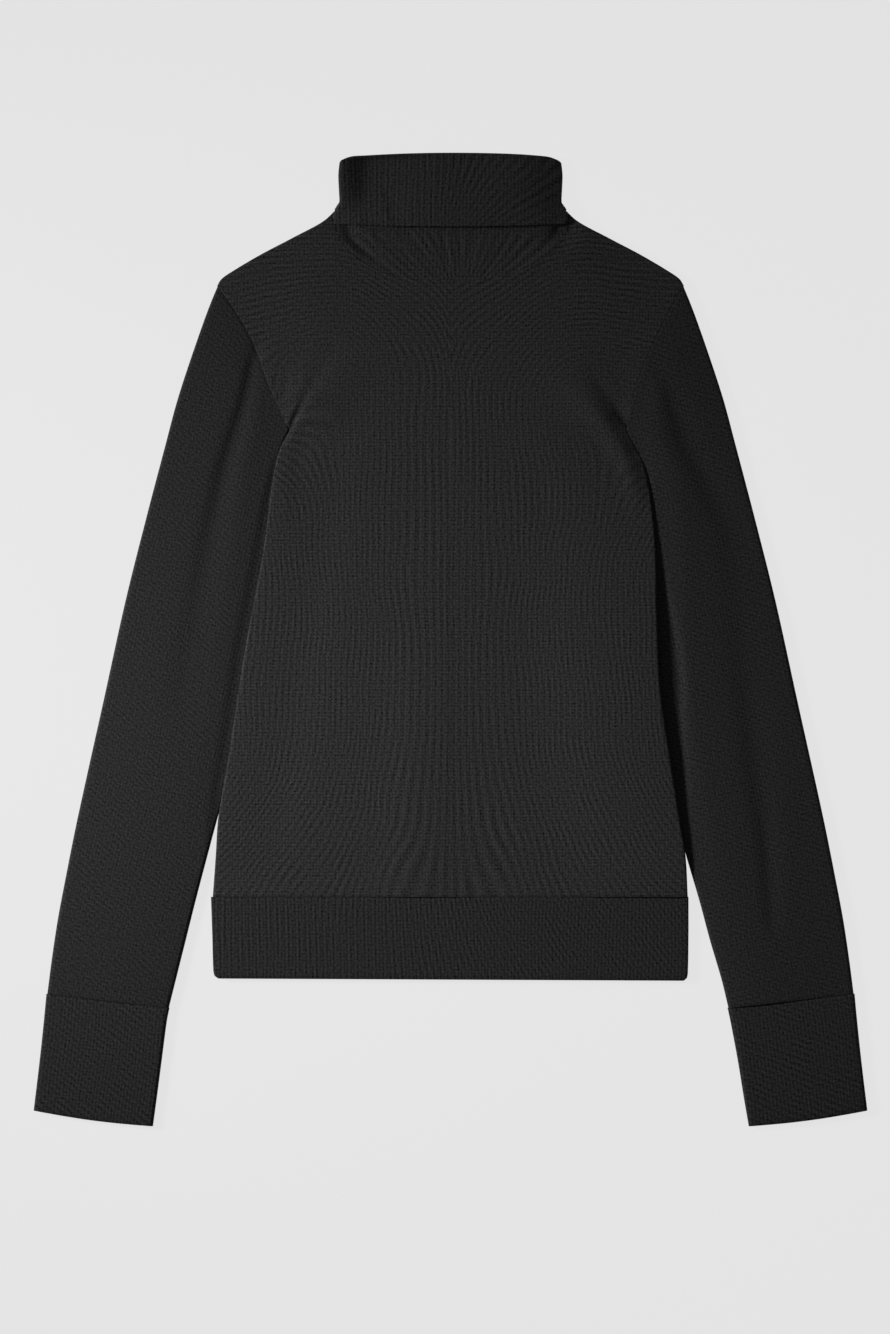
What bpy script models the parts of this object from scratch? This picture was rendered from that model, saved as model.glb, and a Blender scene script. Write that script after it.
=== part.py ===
"""A fine-knit turtleneck sweater, laid flat and face up.

Every knitted piece is its own wall of cloth: front, back, two sleeves, two cuffs, a front and a back hem
band, and the roll collar. The surface that it lies on is z = 0, +Y runs from the hem to the collar, and the
origin is the middle of the laid outline. Right and left are the wearer's, so the right sleeve lies at -X.
Sizes below are millimetres, and each point is turned to metres where its vertex is placed.
"""

import math
from bisect import bisect_right
from collections import namedtuple

import bmesh
import bpy

MM = 0.001
FRONT, BACK = "front", "back"
RIGHT, LEFT = "right", "left"

# The knit
JERSEY = 1.4  # wall of the plain knit of body and sleeves
RIB = 1.6  # wall of the firmer knit of collar, cuffs and hem bands
SEAM_GAP = 0.3  # between two pieces along the seam that joins them
SEAM_SHIFT = 0.4  # the same gap where a seam runs aslant, measured across the body
TIP_SHIFT = 1.3  # and more at the shoulder point, where a sleeve's fold meets the seam aslant
ARMPIT_GAP = 0.7  # more than the seam gap where front, back and sleeve meet
NECK_GAP = 0.8  # the same beside the neck, under the turned-down collar
ROLL_ROOM = 0.85  # height beyond the wall's own that a fully rolled edge takes up
FOLD_SHAPE = 1.3  # a sleeve's folded edge is this much longer across than it is high
FOLD_SLANT = 0.9  # and more so at the underarm, where the sections cross the fold aslant

# Levels along the garment
COLLAR_TOP = 388.8
NECK_POINT = 342.0  # where shoulder seam and neck seam meet
SHOULDER_POINT = 283.0  # where shoulder seam and armhole meet
ARMPIT = 167.0
BAND_SEAM = -205.5  # body to hem band
HEM = -270.4

# Heights above the surface that the garment lies on
EDGE_TOP = 4.8  # of the front near its armholes and shoulders
PILLOW = 1.5  # more than that in the middle of the body
BAND_TOP = 4.6
SLEEVE_UNDER = 3.5  # top of a sleeve where the body lies on it
BODY_OVER = 3.9  # underside of the body where it lies on a sleeve
NECK_OVER = 2.0  # underside of the back where it lies on the turned-down collar
NECK_TOP = 1.1  # rise of the front beside the neck
CREASE_RIDGE = 0.8  # rise of the front along the creases over the chest
SLEEVE_PUFF = {RIGHT: 0.9, LEFT: 1.9}  # rise along a sleeve
SLEEVE_CREST = {RIGHT: 0.5, LEFT: 0.7}  # and how far across it is highest, from the outer fold
PUFF_FULLNESS = 0.8  # below 1 the rise is fuller than a sine
CUFF_PUFF = 0.3

# Where a form comes in or fades: both ends of its smooth step
SWELL_INSET = (4.0, 75.0)  # the front's rise, by how far in from its side
SWELL_BELOW = (4.0, 45.0)  # by how far below the shoulder
SWELL_ABOVE = (0.0, 60.0)  # and by how far above the band's seam
RIDGE_INSET = (12.0, 62.0)  # the hump along a side fold
CREASE_INSET = (16.0, 50.0)  # the ridge along a crease over the chest
CREASE_BELOW = (112.0, ARMPIT)  # levels where that ridge comes in along the side fold
CREASE_ABOVE = (195.0, 240.0)  # and where it fades over the chest
CREASE_WIDTH = (5.0, 40.0)  # its flank at the armpit and at its end
CREASE_STARTS, CREASE_SWELL = (ARMPIT, ARMPIT + 10), (195.0, 245.0)  # levels where it shapes the rise
CREASE_PAST = 12.0  # the rise is whole this far past it
OVER_SLEEVE_LOW, OVER_SLEEVE_HIGH = 55.0, 6.0  # past the levels where the body lies on the sleeve
OVER_SLEEVE_INSET = (26.0, 46.0)  # and how far in from its side
NECK_RISE, NECK_ACROSS = (292.0, 310.0), (99.0, 150.0)  # the rise beside the neck, by level and across
NECK_GAP_ACROSS = (112.0, 135.0)
ARMPIT_OPENS, ARMPIT_CLOSES = (148.0, 162.0), (172.0, 186.0)  # levels of the wider gap
ROLL_TURNS = (-2.0, 16.0)  # a shoulder's rolled edge begins, by how far out from the neck point
ROLL_FADES = 8.0  # above the armpit a side's rolled edge fades over this
PUFF_BESIDE = (0.0, 26.0)  # a sleeve's rise, by how far out from the body's side
GROOVE_LOW, GROOVE_HIGH = (-40.0, 0.0), (4.0, 44.0)  # past the levels where the body lies on it
SLANT_IN, SLANT_OUT = (-0.02, 0.05), (0.25, 0.5)  # by the share of a sleeve's length
ARMHOLE_BOW = (0.0, 0.22)  # as far as a sleeve's sections follow the armhole's curve
TIP_REACH = (0.0, 0.045)
CUFF_BOW = (0.3, 1.0)

# The neck
NECK_HALF = 93.0
NECK_POWER = 2.3  # roundness of the neckline, 2 is an ellipse
NECK_DEPTH = {FRONT: 55.5, BACK: 20.0}

Edge = namedtuple("Edge", "y right left")
BODY_SIDE = (  # half-widths of the body at its side folds, from the hem band up to the armpit
    Edge(-205.5, 190.0, 189.5),
    Edge(-172.0, 187.5, 187.5),
    Edge(-140.0, 185.2, 182.5),
    Edge(-96.0, 177.5, 175.6),
    Edge(-48.0, 170.2, 168.5),
    Edge(-10.0, 164.4, 165.8),
    Edge(31.0, 156.6, 164.6),
    Edge(62.0, 150.8, 164.2),
    Edge(92.0, 146.4, 162.2),
    Edge(118.0, 143.4, 159.0),
    Edge(142.0, 139.2, 153.5),
    Edge(155.0, 135.2, 147.0),
    Edge(167.0, 129.0, 141.0),
)
ARMHOLE = (  # half-widths of the body at its armhole seams
    Edge(167.0, 129.0, 141.0),
    Edge(185.0, 136.8, 144.5),
    Edge(205.0, 146.0, 150.0),
    Edge(222.0, 151.8, 156.0),
    Edge(238.0, 158.0, 163.0),
    Edge(253.0, 165.8, 170.5),
    Edge(268.0, 175.5, 178.5),
    Edge(283.0, 186.5, 186.5),
)
CREASE = (  # the fold that runs on from each side fold, over the chest
    Edge(167.0, 129.0, 141.0),
    Edge(177.0, 126.0, 131.5),
    Edge(191.0, 117.8, 124.0),
    Edge(214.0, 106.0, 108.0),
    Edge(234.0, 94.0, 96.0),
)
SLEEVE_OUTER = (  # the outer fold of a sleeve
    Edge(-282.4, 322.2, 322.2),
    Edge(-256.0, 318.8, 318.8),
    Edge(-224.0, 314.0, 314.0),
    Edge(-192.0, 308.0, 308.0),
    Edge(-144.0, 298.4, 298.4),
    Edge(-48.0, 277.2, 277.2),
    Edge(32.0, 259.6, 259.6),
    Edge(96.0, 243.6, 243.6),
    Edge(160.0, 226.8, 226.8),
    Edge(192.0, 218.4, 218.4),
    Edge(224.0, 208.4, 208.4),
    Edge(256.0, 197.6, 197.6),
    Edge(272.0, 191.6, 191.6),
    Edge(283.0, 187.0, 187.0),
)
SLEEVE_INNER = (  # the inner fold of a sleeve, part of which the body lies on
    Edge(-293.6, 225.0, 222.0),
    Edge(-272.0, 219.6, 216.8),
    Edge(-240.0, 211.6, 207.4),
    Edge(-208.0, 203.6, 198.8),
    Edge(-176.0, 195.2, 189.4),
    Edge(-144.0, 186.2, 180.5),
    Edge(-96.0, 175.2, 170.5),
    Edge(-48.0, 164.5, 162.0),
    Edge(-10.0, 157.0, 158.0),
    Edge(31.0, 149.0, 155.0),
    Edge(62.0, 144.8, 154.5),
    Edge(92.0, 142.0, 156.0),
    Edge(118.0, 143.9, 159.5),
    Edge(142.0, 139.8, 154.1),
    Edge(155.0, 135.8, 147.6),
    Edge(167.0, 129.4, 141.4),
)
CUFF_OUTER = (
    Edge(-376.0, 333.2, 333.2),
    Edge(-336.0, 328.4, 328.4),
    Edge(-304.0, 325.0, 325.0),
    Edge(-282.8, 323.0, 323.0),
)
CUFF_INNER = (
    Edge(-388.6, 237.8, 238.4),
    Edge(-368.0, 235.0, 234.8),
    Edge(-336.0, 230.8, 229.6),
    Edge(-304.0, 226.6, 223.6),
    Edge(-294.0, 224.6, 221.4),
)
BAND_SIDE = (
    Edge(-270.4, 188.0, 188.8),
    Edge(-266.0, 189.4, 189.6),
    Edge(-235.0, 190.4, 190.2),
    Edge(-205.8, 191.4, 190.2),
)
CUFF_BELLY = 1.6
HUMP = (  # how far the front rises along its side folds, over the sleeves
    Edge(-170.0, 3.2, 3.4),
    Edge(-110.0, 3.2, 4.5),
    Edge(0.0, 3.2, 4.5),
    Edge(50.0, 3.2, 3.4),
    Edge(110.0, 3.2, 3.2),
)
BODY_ON_SLEEVE = {RIGHT: (-146.0, 118.0), LEFT: (-174.0, 118.0)}  # levels where it lies so
GROOVE = (  # how wide a sleeve stays low beside the body that lies on it
    Edge(-172.0, 1.5, 1.5),
    Edge(-140.0, 2.0, 2.4),
    Edge(-97.0, 3.0, 8.0),
    Edge(-65.0, 3.5, 11.0),
    Edge(-33.0, 3.5, 14.0),
    Edge(0.0, 3.5, 13.0),
    Edge(42.0, 3.0, 8.0),
    Edge(85.0, 2.0, 3.0),
    Edge(128.0, 1.5, 1.5),
)
GROOVE_BANK = 8.0  # and how wide its rise beyond that is
BODY_LEVELS = {  # rows of a panel up to the armpit
    FRONT: (-205.5, -190, -172, -156, -140, -115, -78, -40, 0, 34, 62, 86, 106, 122, 134, 145, 156),
    BACK: (-205.5, -190, -172, -156, -140, -84, -36, 14, 62, 98, 122, 134, 145, 156),
}
ARMHOLE_LEVELS = {  # points that a panel and its sleeve share along the armhole seam
    FRONT: (172, 179, 189, 201, 215, 230, 245, 259, 270),
    BACK: (174, 188, 209, 232, 254, 270),
}
NECK_ANGLES = {  # points that a panel and the collar share along the neck seam
    FRONT: (-77, -66, -55, -44, -33, -22, -11, 0, 11, 22, 33, 44, 55, 66, 77),
    BACK: (-81, -70, -54, -36, -18, 0, 18, 36, 54, 70, 81),
}
BAND_ROWS = (0.0, 3.5, 22.0, 44.0)  # above the hem
SLEEVE_ROWS = (0, 0.02, 0.045, 0.08, 0.12, 0.17, 0.23, 0.3, 0.38, 0.46, 0.54, 0.62, 0.7, 0.79, 0.9, 1)
CUFF_ROWS = (0, 0.08, 0.35, 0.65, 0.95, 1)
CUFF_ACROSS = {FRONT: (0.06, 0.236, 0.412, 0.588, 0.764, 0.94), BACK: (0.06, 0.35, 0.65, 0.94)}
STAND_ROWS = (0.0, 0.06, 0.12, 0.18, 0.3, 0.55, 0.8, 1.0)
FOLD_TURNS = (45, 90, 135)

Shoulder = namedtuple("Shoulder", "out y")
SHOULDER = (  # the shoulder seam, by how far out from the neck point
    Shoulder(0.0, 342.0),
    Shoulder(6.0, 336.2),
    Shoulder(14.0, 331.0),
    Shoulder(32.5, 321.6),
    Shoulder(60.0, 307.2),
    Shoulder(83.8, 293.0),
    Shoulder(90.4, 288.0),
    Shoulder(93.5, 283.0),
)

Trough = namedtuple("Trough", "x0 y0 x1 y1 width depth")
TROUGHS = (  # the long soft folds
    Trough(-159.0, 226.0, -181.0, 110.0, 9.0, 1.8),
    Trough(-181.0, 110.0, -212.0, -40.0, 13.0, 0.9),
    Trough(190.0, 236.0, 208.0, 110.0, 9.0, 1.1),
    Trough(224.0, 60.0, 262.0, -200.0, 11.0, 1.0),
    Trough(-106.0, 200.0, -88.0, 236.0, 9.0, 1.0),
    Trough(66.0, 292.0, 92.0, 316.0, 6.0, 1.0),
)

Roll = namedtuple("Roll", "folded flat rise")
ROLL = (  # insets from a panel's edge, folded and not, and the share of the height when folded
    Roll(0.0, 0.0, 0.0),
    Roll(0.0, 1.0, 0.36),
    Roll(0.9, 2.2, 0.72),
    Roll(2.5, 3.6, 0.94),
    Roll(5.0, 5.0, 1.0),
)
INSIDE = Roll(0.0, 0.0, 1.0)

Ring = namedtuple("Ring", "from_top half z_front")
STAND_Z = (5.5, 3.0)  # middle of the wall, front and back
FLAP_BACK_Z = 0.8
FLAP = (  # the turned-down part of the collar: the middle of its wall
    Ring(1.1, 87.9, 7.7),
    Ring(5.8, 88.4, 7.8),
    Ring(14.0, 88.8, 7.9),
    Ring(28.0, 88.2, 7.9),
    Ring(38.0, 88.8, 8.0),
    Ring(46.0, 91.0, 8.1),
    Ring(53.0, 94.0, 8.2),
    Ring(58.6, 96.5, 8.2),
)
FLAP_ROWS = (0.0, 0.08, 0.24, 0.48, 0.68, 0.86, 1.0)  # from the fold to the flap's edge
FLAP_END = {FRONT: 59.4, BACK: 72.8}  # from the collar's top to the flap's edge
FLAP_RISE = {FRONT: 6.4, BACK: 0.0}  # the edge is this much higher at the sides
FLAP_SIDE_END = 30.0  # the flap's edge passes over the shoulder here
FLAP_SIDE_TURN = {FRONT: 4, BACK: 14}  # how sharply the flap's edge turns up there
FLAP_CORNER = {FRONT: 0.0, BACK: 0.7}  # and how much of that turn its flat corners already have
CORNER_ACROSS = (0.8, 1.0)
FLAP_SIDE_DEPTH = 1.8  # how far across its rounded sides reach
FLAP_CROWN = 2.6  # the front of the flap is this much higher in the middle
CROWN_TURN = 1.5  # radians of a cosine from there to its side
CROWN_BELOW = (0.0, 45.0)
TOP_ARCH, ARCH_AT = 3.0, 80.0  # the collar's top is this much lower this far out
TOP_CORNER, CORNER_FROM, CORNER_POWER = 3.0, 76.0, 2.0  # its rounded top corners
CORNER_BELOW = (0.0, 18.0)
STAND_HALF = 85.6
STAND_INSET = 1.2  # at the neck point the wall's middle lies this far in from the seam
STAND_FLARE, STAND_LEAVES = (0.0, 0.22), (0.0, 0.5)  # by the share of the stand's height


# ---------------------------------------------------------------- numbers


def mix(a, b, share):
    return a + (b - a) * share


def ease(value, start, end):
    """0 up to start, 1 from end, and smooth between."""
    share = min(1.0, max(0.0, (value - start) / (end - start)))
    return share * share * (3 - 2 * share)


def read(rows, at, column):
    """One column of a table as a smooth curve through its rows, which the first column orders."""
    keys = [row[0] for row in rows]
    values = [getattr(row, column) for row in rows]
    if at <= keys[0] or at >= keys[-1]:
        return values[0] if at <= keys[0] else values[-1]
    i = bisect_right(keys, at) - 1

    def slope(k):
        low, high = max(k - 1, 0), min(k + 1, len(keys) - 1)
        return (values[high] - values[low]) / (keys[high] - keys[low])

    step = keys[i + 1] - keys[i]
    t = (at - keys[i]) / step
    rest = 1 - t
    return (
        values[i] * rest * rest * (1 + 2 * t)
        + values[i + 1] * t * t * (3 - 2 * t)
        + slope(i) * step * t * rest * rest
        - slope(i + 1) * step * t * t * rest
    )


def spread(start, end, count):
    """count values after start, evenly spaced, the last one before end."""
    return [mix(start, end, k / (count + 1)) for k in range(1, count + 1)]


# ---------------------------------------------------------------- the laid garment's outline


def side_of(x):
    return RIGHT if x < 0 else LEFT


def sign_of(side):
    return -1 if side == RIGHT else 1


def body_edge(side, y):
    return read(BODY_SIDE if y <= ARMPIT else ARMHOLE, y, side)


def shoulder_line(across):
    """Level of the top of the shoulder, across from the middle."""
    return read(SHOULDER, abs(across) - NECK_HALF, "y")


def neckline(angle, face, inwards=0.0):
    """A point of the neck seam: angle runs from -90 at the right neck point to 90 at the left one."""
    turn = math.radians(angle)
    power = 2 / NECK_POWER
    x = math.copysign(abs(math.sin(turn)) ** power, turn) * (NECK_HALF - inwards)
    y = NECK_POINT - max(0.0, math.cos(turn)) ** power * (NECK_DEPTH[face] - inwards)
    return x, y


# ---------------------------------------------------------------- heights


def trough_depth(x, y):
    """How far the long soft folds sink the cloth here."""
    sink = 0.0
    for t in TROUGHS:
        length = math.hypot(t.x1 - t.x0, t.y1 - t.y0)
        along = ((x - t.x0) * (t.x1 - t.x0) + (y - t.y0) * (t.y1 - t.y0)) / length
        away = ((x - t.x0) * (t.y1 - t.y0) - (y - t.y0) * (t.x1 - t.x0)) / length
        beyond = max(0.0, -along, along - length) / (2 * t.width)
        sink += t.depth * math.exp(-((away / t.width) ** 2) - beyond**2)
    return sink


def over_sleeve(side, y):
    """1 where the body's side lies on the sleeve, 0 well away from there."""
    low, high = BODY_ON_SLEEVE[side]
    return ease(y, low - OVER_SLEEVE_LOW, low) * (1 - ease(y, high - OVER_SLEEVE_HIGH, ARMPIT))


def beside_neck(x, y):
    return ease(y, *NECK_RISE) * (1 - ease(abs(x), *NECK_ACROSS))


def front_top(x, y):
    """Outside of the front."""
    side = side_of(x)
    inset = body_edge(side, y) - abs(x)
    swell = ease(inset, *SWELL_INSET)
    if y <= ARMPIT:
        ridge = read(HUMP, y, side) * over_sleeve(side, y) + CREASE_RIDGE * ease(y, *CREASE_BELOW)
        ridge *= 1 - ease(inset, *RIDGE_INSET)
    else:
        past_crease = read(CREASE, y, side) - abs(x)
        width = mix(*CREASE_WIDTH, ease(y, ARMPIT, CREASE_ABOVE[1]))
        fade = ease(y, *CREASE_STARTS) * (1 - ease(y, *CREASE_SWELL))
        swell = mix(swell, ease(past_crease, -width, CREASE_PAST), fade)
        ridge = CREASE_RIDGE * (1 - ease(y, *CREASE_ABOVE)) * ease(past_crease, -width, 0)
        ridge *= 1 - ease(past_crease, *CREASE_INSET)
    swell *= ease(shoulder_line(x) - y, *SWELL_BELOW) * ease(y - BAND_SEAM, *SWELL_ABOVE)
    return EDGE_TOP + PILLOW * swell + ridge + NECK_TOP * beside_neck(x, y) - trough_depth(x, y)


def back_bottom(x, y):
    """Outside of the back, which lies on the surface except over a sleeve and over the collar."""
    side = side_of(x)
    inset = body_edge(side, y) - abs(x)
    return max(
        BODY_OVER * over_sleeve(side, y) * (1 - ease(inset, *OVER_SLEEVE_INSET)),
        NECK_OVER * beside_neck(x, y),
    )


def sleeve_top(side, across, x, y):
    """Outside of a sleeve's front. across runs from 0 at the outer fold to 1 at the inner one."""
    beside = abs(x) - body_edge(side, y)
    turn = math.pi * across ** (math.log(0.5) / math.log(SLEEVE_CREST[side]))
    puff = SLEEVE_PUFF[side] * math.sin(turn) ** PUFF_FULLNESS * ease(beside, *PUFF_BESIDE)
    low, high = BODY_ON_SLEEVE[side]
    window = ease(y - low, *GROOVE_LOW) * (1 - ease(y - high, *GROOVE_HIGH))
    width = read(GROOVE, y, side)
    dip = (1 - ease(beside, width, width + GROOVE_BANK)) * window
    return mix(EDGE_TOP + puff - trough_depth(x, y), SLEEVE_UNDER, dip)


# ---------------------------------------------------------------- meshes


def knit_material(name, colour, roughness):
    material = bpy.data.materials.new(name)
    material.use_nodes = True
    shader = material.node_tree.nodes["Principled BSDF"]
    shader.inputs["Base Color"].default_value = (*colour, 1.0)
    shader.inputs["Roughness"].default_value = roughness
    shader.inputs["Metallic"].default_value = 0.0
    return material


def cloth(name, columns, rows, place, wall, material, offset=-1.0, flip=False, closed=False):
    """A wall of cloth: a grid whose point (column, row) place() puts in millimetres, given its thickness."""
    bm = bmesh.new()
    bmesh.ops.create_grid(bm, x_segments=columns - 1, y_segments=rows - 1, size=1.0)
    for v in bm.verts:
        column = round((v.co.x + 1) / 2 * (columns - 1))
        row = round((v.co.y + 1) / 2 * (rows - 1))
        v.co = [size * MM for size in place(column, row)]
    if closed:
        bmesh.ops.remove_doubles(bm, verts=bm.verts, dist=0.001 * MM)
    if flip:
        bmesh.ops.reverse_faces(bm, faces=bm.faces)
    mesh = bpy.data.meshes.new(name)
    bm.to_mesh(mesh)
    bm.free()
    mesh.shade_smooth()
    piece = bpy.data.objects.new(name, mesh)
    piece.data.materials.append(material)
    thickness = piece.modifiers.new("Cloth wall", "SOLIDIFY")
    thickness.thickness = wall * MM
    thickness.offset = offset
    return piece


# ---------------------------------------------------------------- front and back


def panel(face, name, material, shoulder_columns=5):
    """The front or the back, with its side and shoulder edges rolled to meet the other panel's."""
    # (side, share of the way in to the neck, roll) beside the neck, (None, angle, INSIDE) below it
    shares = spread(0.0, 1.0, shoulder_columns)
    columns = [(RIGHT, 0.0, roll) for roll in ROLL] + [(RIGHT, share, INSIDE) for share in shares]
    columns += [(None, angle, INSIDE) for angle in (-90, *NECK_ANGLES[face], 90)]
    columns += [(LEFT, share, INSIDE) for share in reversed(shares)]
    columns += [(LEFT, 0.0, roll) for roll in reversed(ROLL)]
    rows = [(level, INSIDE) for level in (*BODY_LEVELS[face], ARMPIT, *ARMHOLE_LEVELS[face])]
    rows += [(SHOULDER_POINT, roll) for roll in reversed(ROLL)]

    def place(column, row):
        side, at, side_roll = columns[column]
        level, top_roll = rows[row]
        if side:
            top_x = mix(body_edge(side, SHOULDER_POINT), NECK_HALF, at) - side_roll.flat
            top_y = shoulder_line(top_x)
        else:
            top_x, top_y = neckline(at, face)
        rise, down = 1.0, 0.0
        if top_roll is not INSIDE:
            at_x = top_x * sign_of(side) if side else top_x
            height = (front_top(at_x, top_y) - back_bottom(at_x, top_y) - SEAM_GAP) / 2
            folded = ease(abs(top_x) - NECK_HALF, *ROLL_TURNS)
            folded *= min(1.0, max(0.0, (height - JERSEY) / ROLL_ROOM))
            down = mix(top_roll.flat, top_roll.folded, folded)
            rise *= mix(1.0, top_roll.rise, folded)
        x, y = top_x, level
        if level > ARMPIT:
            y = mix(ARMPIT, top_y, (level - ARMPIT) / (SHOULDER_POINT - ARMPIT)) - down
        if side:
            x = mix(body_edge(side, level - down), NECK_HALF, at)
            if side_roll is not INSIDE:
                folded = 1 - ease(level, ARMPIT, ARMPIT + ROLL_FADES)
                x -= mix(side_roll.flat, side_roll.folded, folded)
                rise *= mix(1.0, side_roll.rise, folded)
            x *= sign_of(side)
        top, bottom = front_top(x, y), back_bottom(x, y)
        middle_z = (top + bottom) / 2
        gap = SEAM_GAP + ARMPIT_GAP * (ease(y, *ARMPIT_OPENS) - ease(y, *ARMPIT_CLOSES))
        gap += NECK_GAP * ease(y, *NECK_RISE) * (1 - ease(abs(x), *NECK_GAP_ACROSS))
        if face == FRONT:
            return x, y, mix(middle_z + gap / 2, top, rise)
        return x, y, mix(middle_z - gap / 2, bottom, rise)

    return cloth(name, len(columns), len(rows), place, JERSEY, material, flip=face == BACK)


def hem_band(face, name, material, across):
    """Half of the band round the hem, with its side edges rolled to meet the other half's."""
    columns = [(0.0, roll, RIGHT) for roll in ROLL]
    columns += [(share, INSIDE, None) for share in spread(0.0, 1.0, across)]
    columns += [(1.0, roll, LEFT) for roll in reversed(ROLL)]
    levels = (*(HEM + above for above in BAND_ROWS), BAND_SEAM - SEAM_GAP)

    def place(column, row):
        share, roll, side = columns[column]
        y = levels[row]
        x = mix(-read(BAND_SIDE, y, RIGHT), read(BAND_SIDE, y, LEFT), share)
        if side:
            x -= sign_of(side) * roll.folded
        if face == FRONT:
            return x, y, mix((BAND_TOP + SEAM_GAP) / 2, BAND_TOP, roll.rise)
        return x, y, mix((BAND_TOP - SEAM_GAP) / 2, 0.0, roll.rise)

    return cloth(name, len(columns), len(levels), place, RIB, material, flip=face == BACK)


# ---------------------------------------------------------------- sleeves and cuffs


def flat_loop(front, back, fold=2):
    """(place across, angle) of each point round a flattened tube, from its outer fold over the front."""
    arc = [90 * k / fold for k in range(fold + 1)]
    loop = [(0.0, angle) for angle in arc] + [(share, 90.0) for share in front]
    loop += [(1.0, angle) for angle in reversed(arc)] + [(1.0, -angle) for angle in arc[1:]]
    loop += [(share, -90.0) for share in reversed(back)]
    return loop + [(0.0, -angle) for angle in reversed(arc)]


def flat_tube(name, side, outer, inner, top, bow, shares, loop, wall, material):
    """A sleeve or cuff: sections from an outer to an inner fold, each one a flattened ring.

    outer and inner give the two folds' points at a share of the length, top the height of the front, and
    bow how far a section's points bend away, so that it follows a curved seam or edge.
    """

    def place(column, row):
        along = shares[row]
        across, angle = loop[column]
        (x0, y0), (x1, y1) = outer(along), inner(along)
        turn = math.radians(angle)
        share = across
        if across in (0.0, 1.0):
            slant = FOLD_SLANT * across * ease(along, *SLANT_IN) * (1 - ease(along, *SLANT_OUT))
            radius = (FOLD_SHAPE + slant) * top(across, *((x0, y0), (x1, y1))[int(across)]) / 2
            share = abs(across - radius * (1 - math.cos(turn)) / math.hypot(x1 - x0, y1 - y0))
        bow_x, bow_y = bow(along, share)
        x, y = mix(x0, x1, share) + bow_x, mix(y0, y1, share) + bow_y
        return sign_of(side) * x, y, top(share, x, y) * (1 + math.sin(turn)) / 2

    flip = side == RIGHT
    return cloth(name, len(loop), len(shares), place, wall, material, flip=flip, closed=True)


def sleeve(side, name, material):
    """A sleeve from its armhole seam to its cuff seam."""

    def outer(along):
        y = mix(SHOULDER_POINT, SLEEVE_OUTER[0].y, along)
        return read(SLEEVE_OUTER, y, side), y

    def inner(along):
        y = mix(ARMPIT, SLEEVE_INNER[0].y, along)
        return read(SLEEVE_INNER, y, side), y

    def bow(along, share):
        """The armhole's curve, which the first sections follow less and less."""
        y = mix(SHOULDER_POINT, ARMPIT, share)
        chord = mix(read(SLEEVE_OUTER, SHOULDER_POINT, side), read(SLEEVE_INNER, ARMPIT, side), share)
        start = read(ARMHOLE, y, side) + SEAM_SHIFT + TIP_SHIFT * (1 - ease(share, *TIP_REACH))
        return (start - chord) * (1 - ease(along, *ARMHOLE_BOW)), 0.0

    def top(across, x, y):
        return sleeve_top(side, across, sign_of(side) * x, y)

    front, back = (
        [(SHOULDER_POINT - y) / (SHOULDER_POINT - ARMPIT) for y in reversed(ARMHOLE_LEVELS[face])]
        for face in (FRONT, BACK)
    )
    return flat_tube(
        name, side, outer, inner, top, bow, SLEEVE_ROWS, flat_loop(front, back), JERSEY, material
    )


def cuff(side, name, material):
    def outer(along):
        y = mix(CUFF_OUTER[-1].y, CUFF_OUTER[0].y, along)
        return read(CUFF_OUTER, y, side), y

    def inner(along):
        y = mix(CUFF_INNER[-1].y, CUFF_INNER[0].y, along)
        return read(CUFF_INNER, y, side), y

    def bow(along, share):
        """The cuff's open edge, which bellies a little."""
        return 0.0, -CUFF_BELLY * math.sin(math.pi * share) * ease(along, *CUFF_BOW)

    def top(across, x, y):
        return EDGE_TOP + CUFF_PUFF * math.sin(math.pi * across)

    loop = flat_loop(CUFF_ACROSS[FRONT], CUFF_ACROSS[BACK])
    return flat_tube(name, side, outer, inner, top, bow, CUFF_ROWS, loop, RIB, material)


# ---------------------------------------------------------------- collar


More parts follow.
